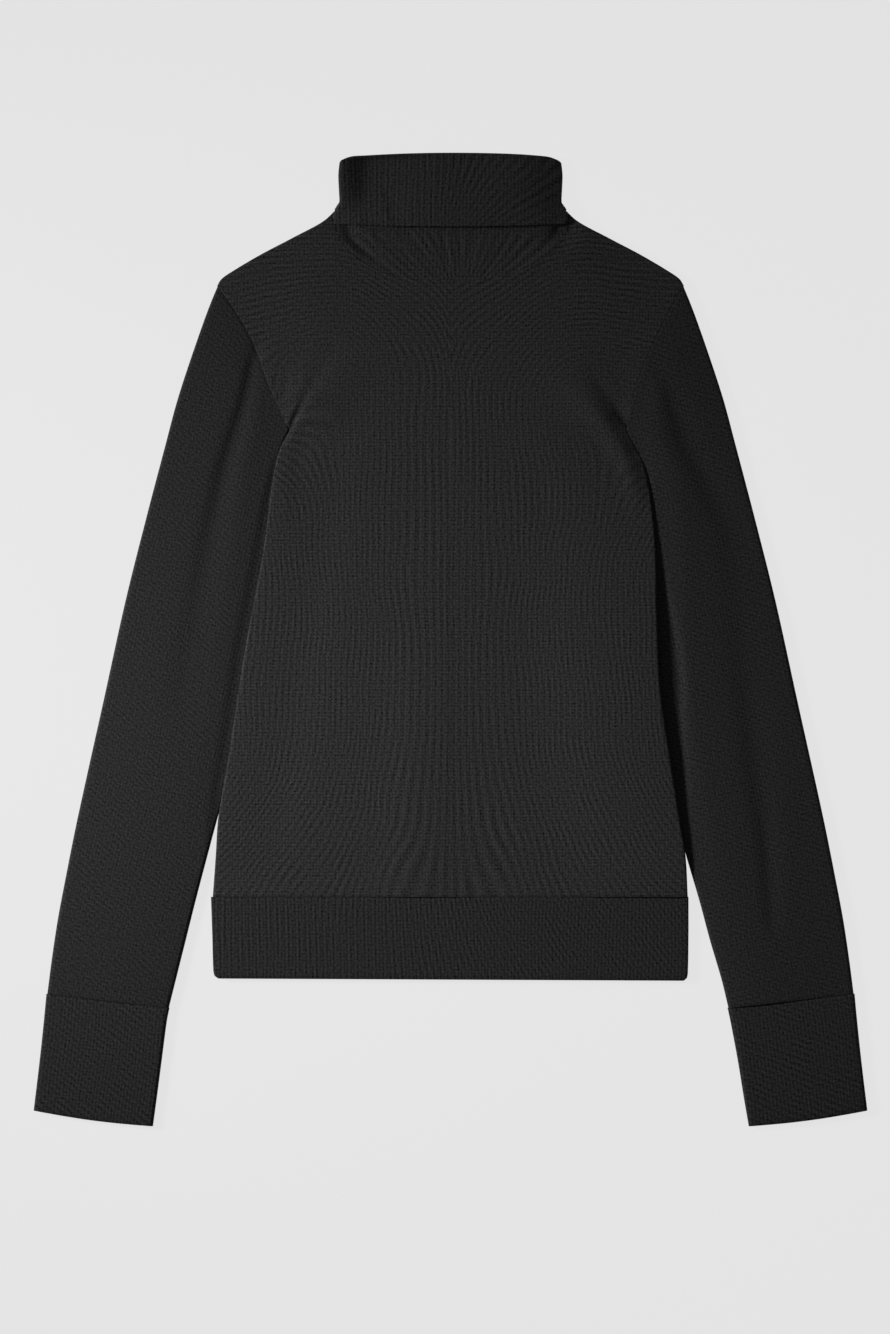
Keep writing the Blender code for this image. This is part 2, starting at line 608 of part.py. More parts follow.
def collar(name, material, fold=3):
    """The roll collar: one tube that stands up from the neck seam, folds over and turns down.

    Its points are the middle of its wall. A row is a ring round the neck, and a column runs up the stand,
    over the fold and down the flap.
    """
    crest = COLLAR_TOP - RIB / 2
    fold_radius = (FLAP[0].z_front - STAND_Z[0]) / 2
    arc = [90 - 90 * k / fold for k in range(fold + 1)]
    loop = [(-1.0, -angle) for angle in arc] + [(-1.0, angle) for angle in reversed(arc[:-1])]
    loop += [(angle / 90, 90.0) for angle in NECK_ANGLES[FRONT]]
    loop += [(1.0, angle) for angle in arc] + [(1.0, -angle) for angle in reversed(arc[:-1])]
    loop += [(angle / 90, -90.0) for angle in reversed(NECK_ANGLES[BACK])]
    loop.append(loop[0])
    rows = [("stand", share) for share in STAND_ROWS] + [("fold", turn) for turn in FOLD_TURNS]
    rows += [("flap", share) for share in FLAP_ROWS]

    def top_y(x, out, below=0.0):
        """Level of the collar's top. out is how far out the column crosses the fold."""
        corner = max(0.0, (out - CORNER_FROM) / (FLAP[0].half - CORNER_FROM)) ** CORNER_POWER
        corner *= TOP_CORNER * (1 - ease(below, *CORNER_BELOW))
        return crest - TOP_ARCH * (x / ARCH_AT) ** 2 - corner

    def place(column, row):
        across, angle = loop[column]
        part, at = rows[row]
        turn = math.radians(angle)
        level = math.sin(turn)
        face = FRONT if level > 0 else BACK
        if part == "stand":
            half = mix(NECK_HALF - STAND_INSET, STAND_HALF, ease(at, *STAND_FLARE))
            z_front, z_back = STAND_Z
        elif part == "fold":
            share = (1 - math.cos(math.radians(at))) / 2
            half = mix(STAND_HALF, FLAP[0].half, share)
            z_front = mix(STAND_Z[0], FLAP[0].z_front, share)
            z_back = mix(STAND_Z[1], FLAP_BACK_Z, share)
        else:
            reach = abs(level) ** FLAP_SIDE_TURN[face]
            reach *= 1 - FLAP_CORNER[face] * ease(abs(across), *CORNER_ACROSS)
            end = FLAP_END[face] - FLAP_RISE[face] * across**2
            fall = mix(fold_radius, mix(FLAP_SIDE_END, end, reach) - RIB / 2, at)
            half, z_front, z_back = read(FLAP, fall, "half"), read(FLAP, fall, "z_front"), FLAP_BACK_Z
            z_front += FLAP_CROWN * math.cos(CROWN_TURN * across) * ease(fall, *CROWN_BELOW)
        radius = (z_front - z_back) / 2
        side_depth = min(radius, FLAP_SIDE_DEPTH)
        x = across * (half - side_depth)
        out = abs(across) * (FLAP[0].half - FLAP_SIDE_DEPTH)
        if abs(across) == 1:
            x += math.copysign(side_depth * math.cos(turn), across)
            out += FLAP_SIDE_DEPTH * math.cos(turn)
        z = (z_front + z_back) / 2 + radius * level
        if part == "stand":
            seam_x, y = x, NECK_POINT + STAND_INSET
            if abs(across) < 1:
                seam_x, y = neckline(90 * across, face, mix(SEAM_SHIFT, STAND_INSET, across**6))
            x = mix(seam_x, x, ease(at, *STAND_LEAVES))
            if at < STAND_LEAVES[1]:
                body = front_top(x, y) - RIB / 2 if face == FRONT else back_bottom(x, y) + RIB / 2
                seam_z = mix((front_top(x, y) + back_bottom(x, y)) / 2, body, abs(level))
                z = mix(seam_z, z, ease(at, *STAND_LEAVES))
            return x, mix(y, top_y(x, out) - fold_radius, at), z
        if part == "fold":
            return x, top_y(x, out) - fold_radius * (1 - math.sin(math.radians(at))), z
        return x, top_y(x, out, fall) - fall, z

    return cloth(name, len(loop), len(rows), place, RIB, material, offset=0.0, closed=True)


# ---------------------------------------------------------------- the sweater


def main():
    for old in list(bpy.data.objects):
        bpy.data.objects.remove(old, do_unlink=True)
    group = bpy.data.collections.new("Turtleneck sweater")
    bpy.context.scene.collection.children.link(group)
    jersey = knit_material("Black jersey knit", (0.016, 0.016, 0.017), 0.9)
    rib = knit_material("Black rib knit", (0.014, 0.014, 0.015), 0.9)

    pieces = [
        panel(FRONT, "body_front", jersey),
        panel(BACK, "body_back", jersey),
        hem_band(FRONT, "hem_band_front", rib, 12),
        hem_band(BACK, "hem_band_back", rib, 8),
        collar("collar", rib),
    ]
    for side in (RIGHT, LEFT):
        pieces.append(sleeve(side, f"sleeve_{side}", jersey))
        pieces.append(cuff(side, f"cuff_{side}", rib))
    for piece in pieces:
        group.objects.link(piece)


main()
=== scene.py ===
import math
from bisect import bisect_right

import bmesh
import bpy
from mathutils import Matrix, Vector


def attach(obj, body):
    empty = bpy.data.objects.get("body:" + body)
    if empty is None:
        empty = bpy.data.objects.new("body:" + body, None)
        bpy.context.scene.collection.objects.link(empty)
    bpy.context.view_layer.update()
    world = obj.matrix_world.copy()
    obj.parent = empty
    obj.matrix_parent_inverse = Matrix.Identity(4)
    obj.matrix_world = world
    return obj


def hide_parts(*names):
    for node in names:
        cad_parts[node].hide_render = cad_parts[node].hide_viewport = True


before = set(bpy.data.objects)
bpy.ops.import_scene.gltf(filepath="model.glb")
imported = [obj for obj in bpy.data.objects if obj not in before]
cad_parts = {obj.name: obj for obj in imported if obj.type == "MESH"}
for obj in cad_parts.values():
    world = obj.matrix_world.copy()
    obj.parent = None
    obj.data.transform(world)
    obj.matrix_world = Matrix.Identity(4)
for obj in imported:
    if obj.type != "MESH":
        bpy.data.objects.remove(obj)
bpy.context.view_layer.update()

# A fine-knit roll-neck sweater laid flat, face up. All the sizes in the dictionaries are millimetres, and
# right and left are the wearer's, so the right sleeve lies at -X. Tables read from the hem end upwards.
# A pair of numbers mostly says from where to where something comes in or fades out.
mm = 0.001
scene = bpy.context.scene


def mix(start, end, share):
    return start + (end - start) * share


def limit(share):
    return min(1.0, max(0.0, share))


def ease(value, start, end):  # 0 up to start, 1 from end, smooth between
    share = limit((value - start) / (end - start))
    return share * share * (3 - 2 * share)


def fade(value, start, end):  # 1 up to start, 0 from end
    return 1 - ease(value, start, end)


def curve(rows, at, column):  # one column of a table, read as a smooth curve
    keys = [row[0] for row in rows]
    if at <= keys[0]:
        return rows[0][column]
    if at >= keys[-1]:
        return rows[-1][column]
    place = bisect_right(keys, at) - 1

    def slope(k):
        low, high = max(k - 1, 0), min(k + 1, len(rows) - 1)
        return (rows[high][column] - rows[low][column]) / (keys[high] - keys[low])

    step = keys[place + 1] - keys[place]
    t = (at - keys[place]) / step
    rest = 1 - t
    return (rows[place][column] * rest * rest * (1 + 2 * t) + rows[place + 1][column] * t * t * (3 - 2 * t)
            + slope(place) * step * t * rest * rest - slope(place + 1) * step * t * t * rest)


def between(start, end, count):  # count values between the two, evenly spaced
    return [mix(start, end, k / (count + 1)) for k in range(1, count + 1)]


def steps(start, end, size):  # from start up to end in even steps of about that size
    count = max(1, round(abs(end - start) / size))
    return [mix(start, end, k / count) for k in range(count + 1)]


def rowsBetween(first, size, last):  # these rows, and even steps from the first ones to the last ones
    return [*first[:-1], *steps(first[-1], last[0], size), *last[1:]]


def tint(code):  # sRGB hex to linear
    parts = [int(code[k:k + 2], 16) / 255 for k in (1, 3, 5)]
    return tuple(c / 12.92 if c <= 0.04045 else ((c + 0.055) / 1.055) ** 2.4 for c in parts)


def fill(shader, values):
    for socket, value in values.items():
        shader.inputs[socket].default_value = value


def node(tree, kind, settings=None, values=None, links=None):
    made = tree.nodes.new(kind)
    for key, value in (settings or {}).items():
        setattr(made, key, value)
    fill(made, values or {})
    for key, source in (links or {}).items():  # from an output, or from the first output of a node
        tree.links.new(source.outputs[0] if hasattr(source, "outputs") else source, made.inputs[key])
    return made


# Dyed merino yarn: matt and rough, with a faint pale fuzz where it is seen at a slant
yarn = {"Metallic": 0.0, "IOR": 1.45, "Specular IOR Level": 0.09, "Roughness": 0.88,
        "Sheen Weight": 0.03, "Sheen Roughness": 0.6, "Sheen Tint": (*tint("#8d8f94"), 1)}

unevenness = {  # the noises in a knit, with about the size in millimetres that each gives
    "drift": {"Scale": 9.0, "Detail": 1.0, "Roughness": 0.4},  # 110
    "swirl": {"Scale": 8.0, "Detail": 3.0, "Roughness": 0.35},  # 125
    "patch": {"Scale": 40.0, "Detail": 3.0, "Roughness": 0.6},  # 25
    "fluff": {"Scale": 560.0, "Detail": 2.0, "Roughness": 0.6},  # 1.8
}

knitLook = {
    # The real wales are 1.6 mm apart. They are drawn wider, or they would not show at all.
    "wale": 2.5,  # from one wale to the next
    "course": 2.6,  # from one row of stitches to the next
    "grain": 4.4,  # of the wavy lines that close wales draw together
    "drift": 8,  # how far the wales bend
    "bend": 26,  # and the wavy lines
    "waleValleyShade": 0.19,  # painted shade: how dark the valley between two wales is, with a painted highlight half as strong on their backs
    "courseValleyShade": 0.20,  # and the painted shade and highlight between two courses
    "grainContrast": 0.30,  # and the wavy lines
    "grainLeast": 0.3,  # share of that where they are faintest
    "fluffContrast": 0.48,  # of the fibres' own uneven dye
    "roundness": 0.6,  # of a wale's back: the lower, the flatter, with a narrower valley
    "stitchClimb": 0.35,  # how far, in courses, a stitch's V climbs over half a wale
    "stitchRelief": 0.3,  # of a course, against a wale's
    "bumpDepth": 0.12, "bumpStrength": 0.6,
}
sleeveLook = {**knitLook, "grain": 3.6, "bend": 14, "waleValleyShade": 0.16, "courseValleyShade": 0.13,
              "grainContrast": 0.24}
ribLook = {**knitLook, "wale": 2.8, "grain": 4.6, "bend": 14, "waleValleyShade": 0.44, "courseValleyShade": 0.12}


def knitCloth(name, colour, look=knitLook):
    # Fine merino knit: rows of small Vs along the wales, which follow the piece's own map
    material = bpy.data.materials.new(name)
    material.use_nodes = True
    tree = material.node_tree
    shader = tree.nodes["Principled BSDF"]
    fill(shader, yarn)
    cloth = node(tree, "ShaderNodeUVMap", {"uv_map": "knit"})
    axes = node(tree, "ShaderNodeSeparateXYZ", links={"Vector": cloth})
    noises = {kind: node(tree, "ShaderNodeTexNoise", {"noise_dimensions": "2D"}, values, {"Vector": cloth})
              for kind, values in unevenness.items()}

    # wales: one valley at each pitch, and a slow drift bends them a little, as in a laid knit
    drifted = node(tree, "ShaderNodeMath", {"operation": "MULTIPLY_ADD"}, {1: look["drift"] * mm},
                   {0: noises["drift"], 2: axes.outputs["X"]})
    count = node(tree, "ShaderNodeMath", {"operation": "MULTIPLY"}, {1: 1 / (look["wale"] * mm)},
                 {0: drifted})
    fold = node(tree, "ShaderNodeMath", {"operation": "PINGPONG"}, {1: 0.5}, {0: count})
    leg = node(tree, "ShaderNodeMath", {"operation": "MULTIPLY"}, {1: 2.0}, {0: fold})
    rise = node(tree, "ShaderNodeMath", {"operation": "POWER"}, {1: look["roundness"]}, {0: leg})

    # courses: each stitch is a V, so its line climbs away from the wale's middle
    vee = node(tree, "ShaderNodeMath", {"operation": "MULTIPLY"}, {1: look["stitchClimb"]}, {0: leg})
    climb = node(tree, "ShaderNodeMath", {"operation": "MULTIPLY_ADD"}, {1: 1 / (look["course"] * mm)},
                 {0: axes.outputs["Y"], 2: vee})
    turns = node(tree, "ShaderNodeMath", {"operation": "MULTIPLY"}, {1: math.tau}, {0: climb})
    swing = node(tree, "ShaderNodeMath", {"operation": "SINE"}, links={0: turns})
    stitch = node(tree, "ShaderNodeMath", {"operation": "MULTIPLY_ADD"}, {1: look["stitchRelief"]},
                  {0: swing, 2: rise})

    # grain: wavy lines along the piece's grain map, in patches and as strong as its fade map says
    flowMap = node(tree, "ShaderNodeUVMap", {"uv_map": "grain"})
    flowAxes = node(tree, "ShaderNodeSeparateXYZ", links={"Vector": flowMap})
    sway = node(tree, "ShaderNodeMath", {"operation": "MULTIPLY"}, {1: look["bend"] * mm},
                {0: noises["swirl"]})
    flow = node(tree, "ShaderNodeMath", {"operation": "MULTIPLY_ADD"}, links={
                0: sway, 1: flowAxes.outputs["Y"], 2: flowAxes.outputs["X"]})
    bands = node(tree, "ShaderNodeMath", {"operation": "MULTIPLY"}, {1: math.tau / (look["grain"] * mm)},
                 {0: flow})
    wave = node(tree, "ShaderNodeMath", {"operation": "COSINE"}, links={0: bands})
    strength = node(tree, "ShaderNodeMapRange", values={
                    "From Min": 0.36, "From Max": 0.64, "To Max": look["grainContrast"],
                    "To Min": look["grainLeast"] * look["grainContrast"]}, links={"Value": noises["patch"]})
    fadeMap = node(tree, "ShaderNodeUVMap", {"uv_map": "grainFade"})
    fadeAxes = node(tree, "ShaderNodeSeparateXYZ", links={"Vector": fadeMap})
    faded = node(tree, "ShaderNodeMath", {"operation": "MULTIPLY"},
                 links={0: strength, 1: fadeAxes.outputs["X"]})
    grainTone = node(tree, "ShaderNodeMath", {"operation": "MULTIPLY"}, links={0: wave, 1: faded})

    # the painted shade and highlight of wales and courses, and the tones of grain and fluff, summed up and
    # laid over the dye
    # painted shade in the valleys between wales, painted highlight on their backs
    waleShadeTone = node(tree, "ShaderNodeMapRange", values={"From Min": 0.0, "From Max": 1.0,
                    "To Min": 1 - look["waleValleyShade"], "To Max": 1 + 0.5 * look["waleValleyShade"]},
                    links={"Value": rise})
    courseShadeTone = node(tree, "ShaderNodeMath", {"operation": "MULTIPLY_ADD"}, {1: look["courseValleyShade"]},
                      {0: swing, 2: waleShadeTone})
    fluffTone = node(tree, "ShaderNodeMapRange", values={"From Min": 0.3, "From Max": 0.7,
                     "To Min": -look["fluffContrast"], "To Max": look["fluffContrast"]},
                     links={"Value": noises["fluff"]})
    sumTone = node(tree, "ShaderNodeMath", {"operation": "ADD"}, links={0: courseShadeTone, 1: grainTone})
    tone = node(tree, "ShaderNodeMath", {"operation": "ADD"}, links={0: sumTone, 1: fluffTone})
    dye = node(tree, "ShaderNodeVectorMath", {"operation": "SCALE"}, {0: tint(colour)}, {"Scale": tone})
    tree.links.new(dye.outputs["Vector"], shader.inputs["Base Color"])
    bump = node(tree, "ShaderNodeBump", values={"Strength": look["bumpStrength"],
                "Distance": look["bumpDepth"] * mm}, links={"Height": stitch})
    tree.links.new(bump.outputs["Normal"], shader.inputs["Normal"])
    return material


jersey = knitCloth("Black merino jersey knit", "#282829")
# the sleeves take a darker copy of the same jersey: painted shade, for the less light that falls on them
sleeveJerseyShaded = knitCloth("Black merino jersey knit, sleeves", "#222223", sleeveLook)
# the hem band and cuffs take a darker copy of the collar's rib yarn: painted shade
rib = knitCloth("Black merino fine rib knit", "#232324", ribLook)
collarRib = knitCloth("Black merino fine rib knit, collar", "#282829", ribLook)
print("materials: jersey and rib")

knit = {  # walls, and how the pieces meet
    "jerseyWall": 1.4, "ribWall": 1.6,
    # between two pieces, and how much more at the armpit and below the collar
    "seamGap": 0.3, "armpitGap": 0.7, "armpitOpens": (148, 162), "armpitCloses": (172, 186),
    "neckGap": 0.8, "neckGapAcross": (112, 135),
    # a sleeve's valley starts this far outside the armhole's line, and its edge lies this far inside
    "seamShift": 0.4, "tuck": 0.5,
    "rollRoom": 0.85,  # height that an edge needs beyond a wall before it is rolled
    "seamDip": 0.45, "seamReach": 1.6,  # the valley at a seam: its depth, and how far it reaches
    "undersideShare": 0.6,  # of it below
    # the armhole's valley, each side of its line: how much deeper, its least share, and its levels
    "armholeDip": {"body": {"right": 0.25, "left": 1.0}, "sleeve": {"right": 1.1, "left": 0.3}},
    "armholeLeast": 0.25, "armholeDeepens": (180, 245), "armholeStarts": (-6, 4),  # from the armpit
}

bodyCut = {
    "neckPoint": 342, "shoulderPoint": 283, "armpit": 167, "bandSeam": -205.5,
    "neckHalf": 93, "neckPower": 2.3, "neckDepth": {"front": 55.5, "back": 20.0},
    "side": [  # level, half-width at the right fold, at the left fold
        (-205.5, 190, 189.5), (-172, 187.5, 187.5), (-140, 185.2, 182.5), (-96, 177.5, 175.6),
        (-48, 170.2, 168.5), (-10, 164.4, 165.8), (31, 156.6, 164.6), (62, 150.8, 164.2),
        (92, 146.4, 162.2), (118, 143.4, 159), (142, 139.2, 153.5), (155, 135.2, 147), (167, 129, 141)],
    "armhole": [(167, 129, 141), (185, 136.8, 144.5), (205, 146, 150), (222, 151.8, 156), (238, 158, 163),
                (253, 165.8, 170.5), (268, 175.5, 178.5), (283, 186.5, 186.5)],
    # the fold that runs on from each side fold over the chest
    "crease": [(167, 129, 141), (177, 126, 131.5), (191, 117.8, 124), (214, 106, 108), (234, 94, 96)],
    "shoulder": [  # distance out from the neck point, level
        (0, 342), (6, 336.2), (14, 331), (32.5, 321.6), (60, 307.2), (83.8, 293), (90.4, 288),
        (93.5, 283)],
    # the levels between which the body lies on a sleeve, and how far it takes to rise and to sink
    "onSleeve": {"right": (-146, 118), "left": (-174, 112)}, "onSleeveEase": (55, 6),
    "besideNeck": {"level": (292, 310), "across": (99, 150)},  # where it rises to the collar
    # rolled edges: inset where the edge is folded, where it is not, and the height share when folded
    "roll": [(0, 0, 0, 0), (1, 0, 1, 0.36), (2, 0.9, 2.2, 0.72), (3, 2.5, 3.6, 0.94), (4, 5, 5, 1)],
    "rollTightness": 0.4, "edgeReach": 5,  # how far in from an edge its roll ends
    "foldEnds": 8,  # a side is folded up to this far above the armpit
    "shoulderFold": (-2, 16),  # and the shoulder from here on outwards from the neck
}

frontPanel = {
    "gridStep": 3, "fineStep": 1.3, "fineShare": 0.4,  # the grid is finer at the creases of the chest
    "edgeTop": 4.8,  # height at the edges, and what is added to it inwards
    "pillow": 1.5, "pillowInset": (4, 75), "pillowTop": (4, 45), "pillowAboveBand": 60,
    "neckRise": 1.1,
    # how far the side folds rise over the sleeves: level, right, left
    "hump": [(-170, 2.4, 3.4), (-110, 2.3, 4.5), (0, 2.3, 4.5), (50, 2.4, 3.4), (80, 2.6, 2.5),
             (100, 2.6, 1.9), (125, 2.6, 1.8)],
    "humpInset": {"right": (2, 55), "left": (10, 115)},
    # the rise along the chest creases: where it comes in below and fades above, its flank and its back
    "creaseRidge": 0.8, "creaseBelow": 112, "creaseAbove": (195, 240), "creaseFlank": (5, 40),
    "creaseInset": (16, 50), "creaseStarts": 10, "creaseSwell": (195, 245), "creasePast": 12,
    "foldLean": 1.6,  # the long folds are this much wider on their left side
    # long soft folds: x, y, width and depth at each of their points, and below zero a ridge
    "folds": [
        [(-154, 236, 3.5, 0.6), (-158.4, 221, 3.8, 1.4), (-166, 185, 4.6, 1.9), (-179.6, 141, 5.8, 2),
         (-189.5, 96, 7.5, 1.6), (-199, 40, 9.5, 1.1), (-214, -50, 12, 0.6)],
        [(164, 228, 6, 0.3), (176, 195, 7, 1.3), (187, 160, 8, 1.6), (204, 128, 9, 1.5), (224, 88, 10, 1),
         (230, 40, 12, 0.7), (235, -20, 11, 0.9), (243, -91, 9, 1.2), (252, -163, 6, 1.3),
         (256, -224, 5, 0.9)],
        [(-22, 40, 24, -0.2), (-24, -30, 24, -0.8), (-26, -90, 24, -1.2), (-30, -190, 24, -1.1)],
        [(60, 150, 10, 0), (72, 112, 10, 0.4), (80, 88, 10, 0.2)],
        [(-114, 176, 8, 0.3), (-121, 140, 8, 0.5), (-121, 96, 8, 0.2)],
        [(66, 292, 6, 0.3), (92, 316, 6, 1)],
        [(98, 339, 4, 0.8), (93, 329, 4.4, 1.6), (87, 321, 4.4, 1.2), (79, 316, 4, 0.2)],
    ],
    # the creases that run on from the body's sides over the chest
    "creases": [
        [(-134, 156, 2, 0.6), (-129, 167, 2.2, 1.5), (-123.5, 179, 2.4, 1.7), (-118, 190, 3.2, 1.2),
         (-109, 207, 6, 0.7), (-94, 233, 9, 0.4)],
        [(-133, 172, 5, -0.5), (-127, 188, 6, -0.6), (-118, 206, 8, -0.4)],
        [(112, 216, 4, 0.2), (119, 204, 5.5, 0.8), (128, 190, 6.5, 1.2), (139, 175, 7, 1.6),
         (148, 160, 7.5, 1.7), (155, 144, 8, 1.6), (160, 128, 7, 1.1), (162.5, 112, 5, 0.4)],
        [(96, 206, 8, -0.2), (108, 190, 8, -0.7), (122, 172, 7.5, -1.3), (136, 152, 7.5, -1.5),
         (144, 132, 7.5, -1.2), (148, 110, 7.5, -0.5)],
    ],
}
backPanel = {
    "gridStep": 4, "neckOver": 2,
    "bodyOver": 3.9, "overInset": (26, 46),  # how high it lies on the sleeves, and how far in
    # the levels between which each side climbs onto its sleeve, and comes down again
    "climb": {"right": (-135, -95, 120, 167), "left": (-229, -174, 106, 167)},
    "creases": [
        [(-70, 150, 6, 0.3), (-96, 128, 7, 0.6), (-124, 108, 7, 0.3)],
        [(58, 52, 7, 0.2), (96, 78, 8, 0.6), (130, 96, 7, 0.4)],
        [(-40, -60, 8, 0.3), (-84, -90, 9, 0.5), (-122, -108, 8, 0.3)],
        [(30, -120, 7, 0.2), (62, -140, 8, 0.4), (92, -150, 7, 0.3)],
        [(-20, 230, 7, 0.3), (12, 214, 8, 0.5), (42, 202, 7, 0.2)]],
}


def sideColumn(x):
    return 1 if x < 0 else 2


def sideName(x):
    return "right" if x < 0 else "left"


def bodyEdge(x, y):
    rows = bodyCut["side"] if y <= bodyCut["armpit"] else bodyCut["armhole"]
    return curve(rows, y, sideColumn(x))


def shoulderLine(x):
    return curve(bodyCut["shoulder"], abs(x) - bodyCut["neckHalf"], 1)


def neckline(angle, face, inwards=0.0):
    turn, power = math.radians(angle), 2 / bodyCut["neckPower"]
    x = math.copysign(abs(math.sin(turn)) ** power, turn) * (bodyCut["neckHalf"] - inwards)
    y = bodyCut["neckPoint"] - max(0.0, math.cos(turn)) ** power * (bodyCut["neckDepth"][face] - inwards)
    return x, y


def neckAngles(face, size):  # angles at even steps along the neck seam
    fine = [k * 0.25 for k in range(-360, 361)]
    spots = [neckline(angle, face) for angle in fine]
    run = [0.0]
    for a, b in zip(spots, spots[1:]):
        run.append(run[-1] + math.dist(a, b))
    wanted = steps(0, run[-1], size)[1:-1]
    return [fine[bisect_right(run, goal) - 1] for goal in wanted]


def foldSink(folds, x, y, lean=1.0):  # how far these folds sink the cloth here, lean times as wide at +X
    sink, farthest = 0.0, 3.0  # a fold ends at three times its width
    for fold in folds:
        best, depth = farthest, 0.0
        for (x0, y0, width0, depth0), (x1, y1, width1, depth1) in zip(fold, fold[1:]):
            reach = farthest * max(width0, width1)
            if not (min(x0, x1) - reach < x < max(x0, x1) + reach
                    and min(y0, y1) - reach < y < max(y0, y1) + reach):
                continue
            alongX, alongY = x1 - x0, y1 - y0
            share = limit(((x - x0) * alongX + (y - y0) * alongY) / (alongX ** 2 + alongY ** 2))
            offX, offY = x - x0 - share * alongX, y - y0 - share * alongY
            away = math.hypot(offX, offY) / mix(width0, width1, share) / (lean if offX > 0 else 1.0)
            if away < best:
                best, depth = away, mix(depth0, depth1, share)
        sink += depth * math.exp(-best ** 2)
    return sink


def overSleeve(x, y):
    low, high = bodyCut["onSleeve"][sideName(x)]
    rising, sinking = bodyCut["onSleeveEase"]
    return ease(y, low - rising, low) * fade(y, high - sinking, bodyCut["armpit"])


def besideNeck(x, y):
    near = bodyCut["besideNeck"]
    return ease(y, *near["level"]) * fade(abs(x), *near["across"])


def frontPlain(x, y):  # the front's outside without its small creases
    cut, armpit, seam = frontPanel, bodyCut["armpit"], bodyCut["bandSeam"]
    inset = bodyEdge(x, y) - abs(x)
    swell = ease(inset, *cut["pillowInset"])
    if y <= armpit:
        ridge = curve(cut["hump"], y, sideColumn(x)) * overSleeve(x, y)
        ridge += cut["creaseRidge"] * ease(y, cut["creaseBelow"], armpit)
        ridge *= fade(inset, *cut["humpInset"][sideName(x)])
    else:
        pastCrease = curve(bodyCut["crease"], y, sideColumn(x)) - abs(x)
        width = mix(*cut["creaseFlank"], ease(y, armpit, cut["creaseAbove"][1]))
        shaped = ease(y, armpit, armpit + cut["creaseStarts"]) * fade(y, *cut["creaseSwell"])
        swell = mix(swell, ease(pastCrease, -width, cut["creasePast"]), shaped)
        ridge = cut["creaseRidge"] * fade(y, *cut["creaseAbove"]) * ease(pastCrease, -width, 0)
        ridge *= fade(pastCrease, *cut["creaseInset"])
    swell *= ease(shoulderLine(x) - y, *cut["pillowTop"]) * ease(y, seam, seam + cut["pillowAboveBand"])
    raised = cut["edgeTop"] + cut["pillow"] * swell + ridge + cut["neckRise"] * besideNeck(x, y)
    return raised - foldSink(cut["folds"], x, y, cut["foldLean"])


def backPlain(x, y):
    cut = backPanel
    low, onto, off, high = cut["climb"][sideName(x)]
    over = cut["bodyOver"] * ease(y, low, onto) * fade(y, off, high)
    over *= fade(bodyEdge(x, y) - abs(x), *cut["overInset"])
    return max(over, cut["neckOver"] * besideNeck(x, y))


def seamSink(distance):  # the small valley at a seam
    return knit["seamDip"] * fade(distance, 0.0, knit["seamReach"])


def armholeSink(distance, y, side, part):  # deepest at the shoulder
    share = mix(knit["armholeLeast"], 1.0, ease(y, *knit["armholeDeepens"]))
    share *= ease(y, *(bodyCut["armpit"] + off for off in knit["armholeStarts"]))
    return knit["armholeDip"][part][sideName(side)] * share * seamSink(distance)


def clothShell(name, columns, rows, place, grain, wall, material, offset=-1.0, flip=False, closed=False):
    # a wall of cloth from a grid: place gives each point, and grain the wavy lines that cross it
    bm = bmesh.new()
    bmesh.ops.create_grid(bm, x_segments=columns - 1, y_segments=rows - 1, size=1.0)
    knitMap = bm.loops.layers.uv.new("knit")
    grainMap = bm.loops.layers.uv.new("grain")
    fadeMap = bm.loops.layers.uv.new("grainFade")
    for vert in bm.verts:
        column = round((vert.co.x + 1) / 2 * (columns - 1))
        row = round((vert.co.y + 1) / 2 * (rows - 1))
        x, y, z, across, along = place(column, row)
        vert.co = (x * mm, y * mm, z * mm)
        lines, share, strength = grain(across, along)
        for loop in vert.link_loops:
            loop[knitMap].uv = (across * mm, along * mm)
            loop[grainMap].uv = (lines * mm, share)
            loop[fadeMap].uv = (strength, 0)
    if closed:
        bmesh.ops.remove_doubles(bm, verts=bm.verts, dist=0.001 * mm)
    if flip:
        bmesh.ops.reverse_faces(bm, faces=bm.faces)
    mesh = bpy.data.meshes.new(name)
    bm.to_mesh(mesh)
    bm.free()
    mesh.shade_smooth()
    piece = bpy.data.objects.new(name, mesh)
    scene.collection.objects.link(piece)
    piece.data.materials.append(material)
    thickness = piece.modifiers.new("Cloth wall", "SOLIDIFY")
    thickness.thickness = wall * mm
    thickness.offset = offset
    print(f"{name}: {columns} x {rows} points")
    return piece


def lay(piece, cadNode):
    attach(piece, "root")
    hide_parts(cadNode)


fineRoll = [(bodyCut["rollTightness"] * curve(bodyCut["roll"], k / 2, 1), curve(bodyCut["roll"], k / 2, 2),
             curve(bodyCut["roll"], k / 2, 3)) for k in range(9)]
inside = (0.0, 0.0, 1.0)

bodyLines = {
    # arcs round a point beside each armpit: its level and distance out at the right and at the left
    "level": (215, 185), "out": (91, 120), "sides": (-60, 60),
    "outerShare": 0.4,  # beyond that point distance counts this much, so they lie wider apart
    "bend": 20, "upright": (0, 130),  # below it they bend over this height, and end up upright
    "fan": 0.45, "fanLevels": (-230, -60),  # and fan out at the hem
    "swayAcross": (0, 60),  # they are straight in the middle, and wavy farther out
    "least": 0.25, "strongFrom": (15, 85),  # and faint near that point
}


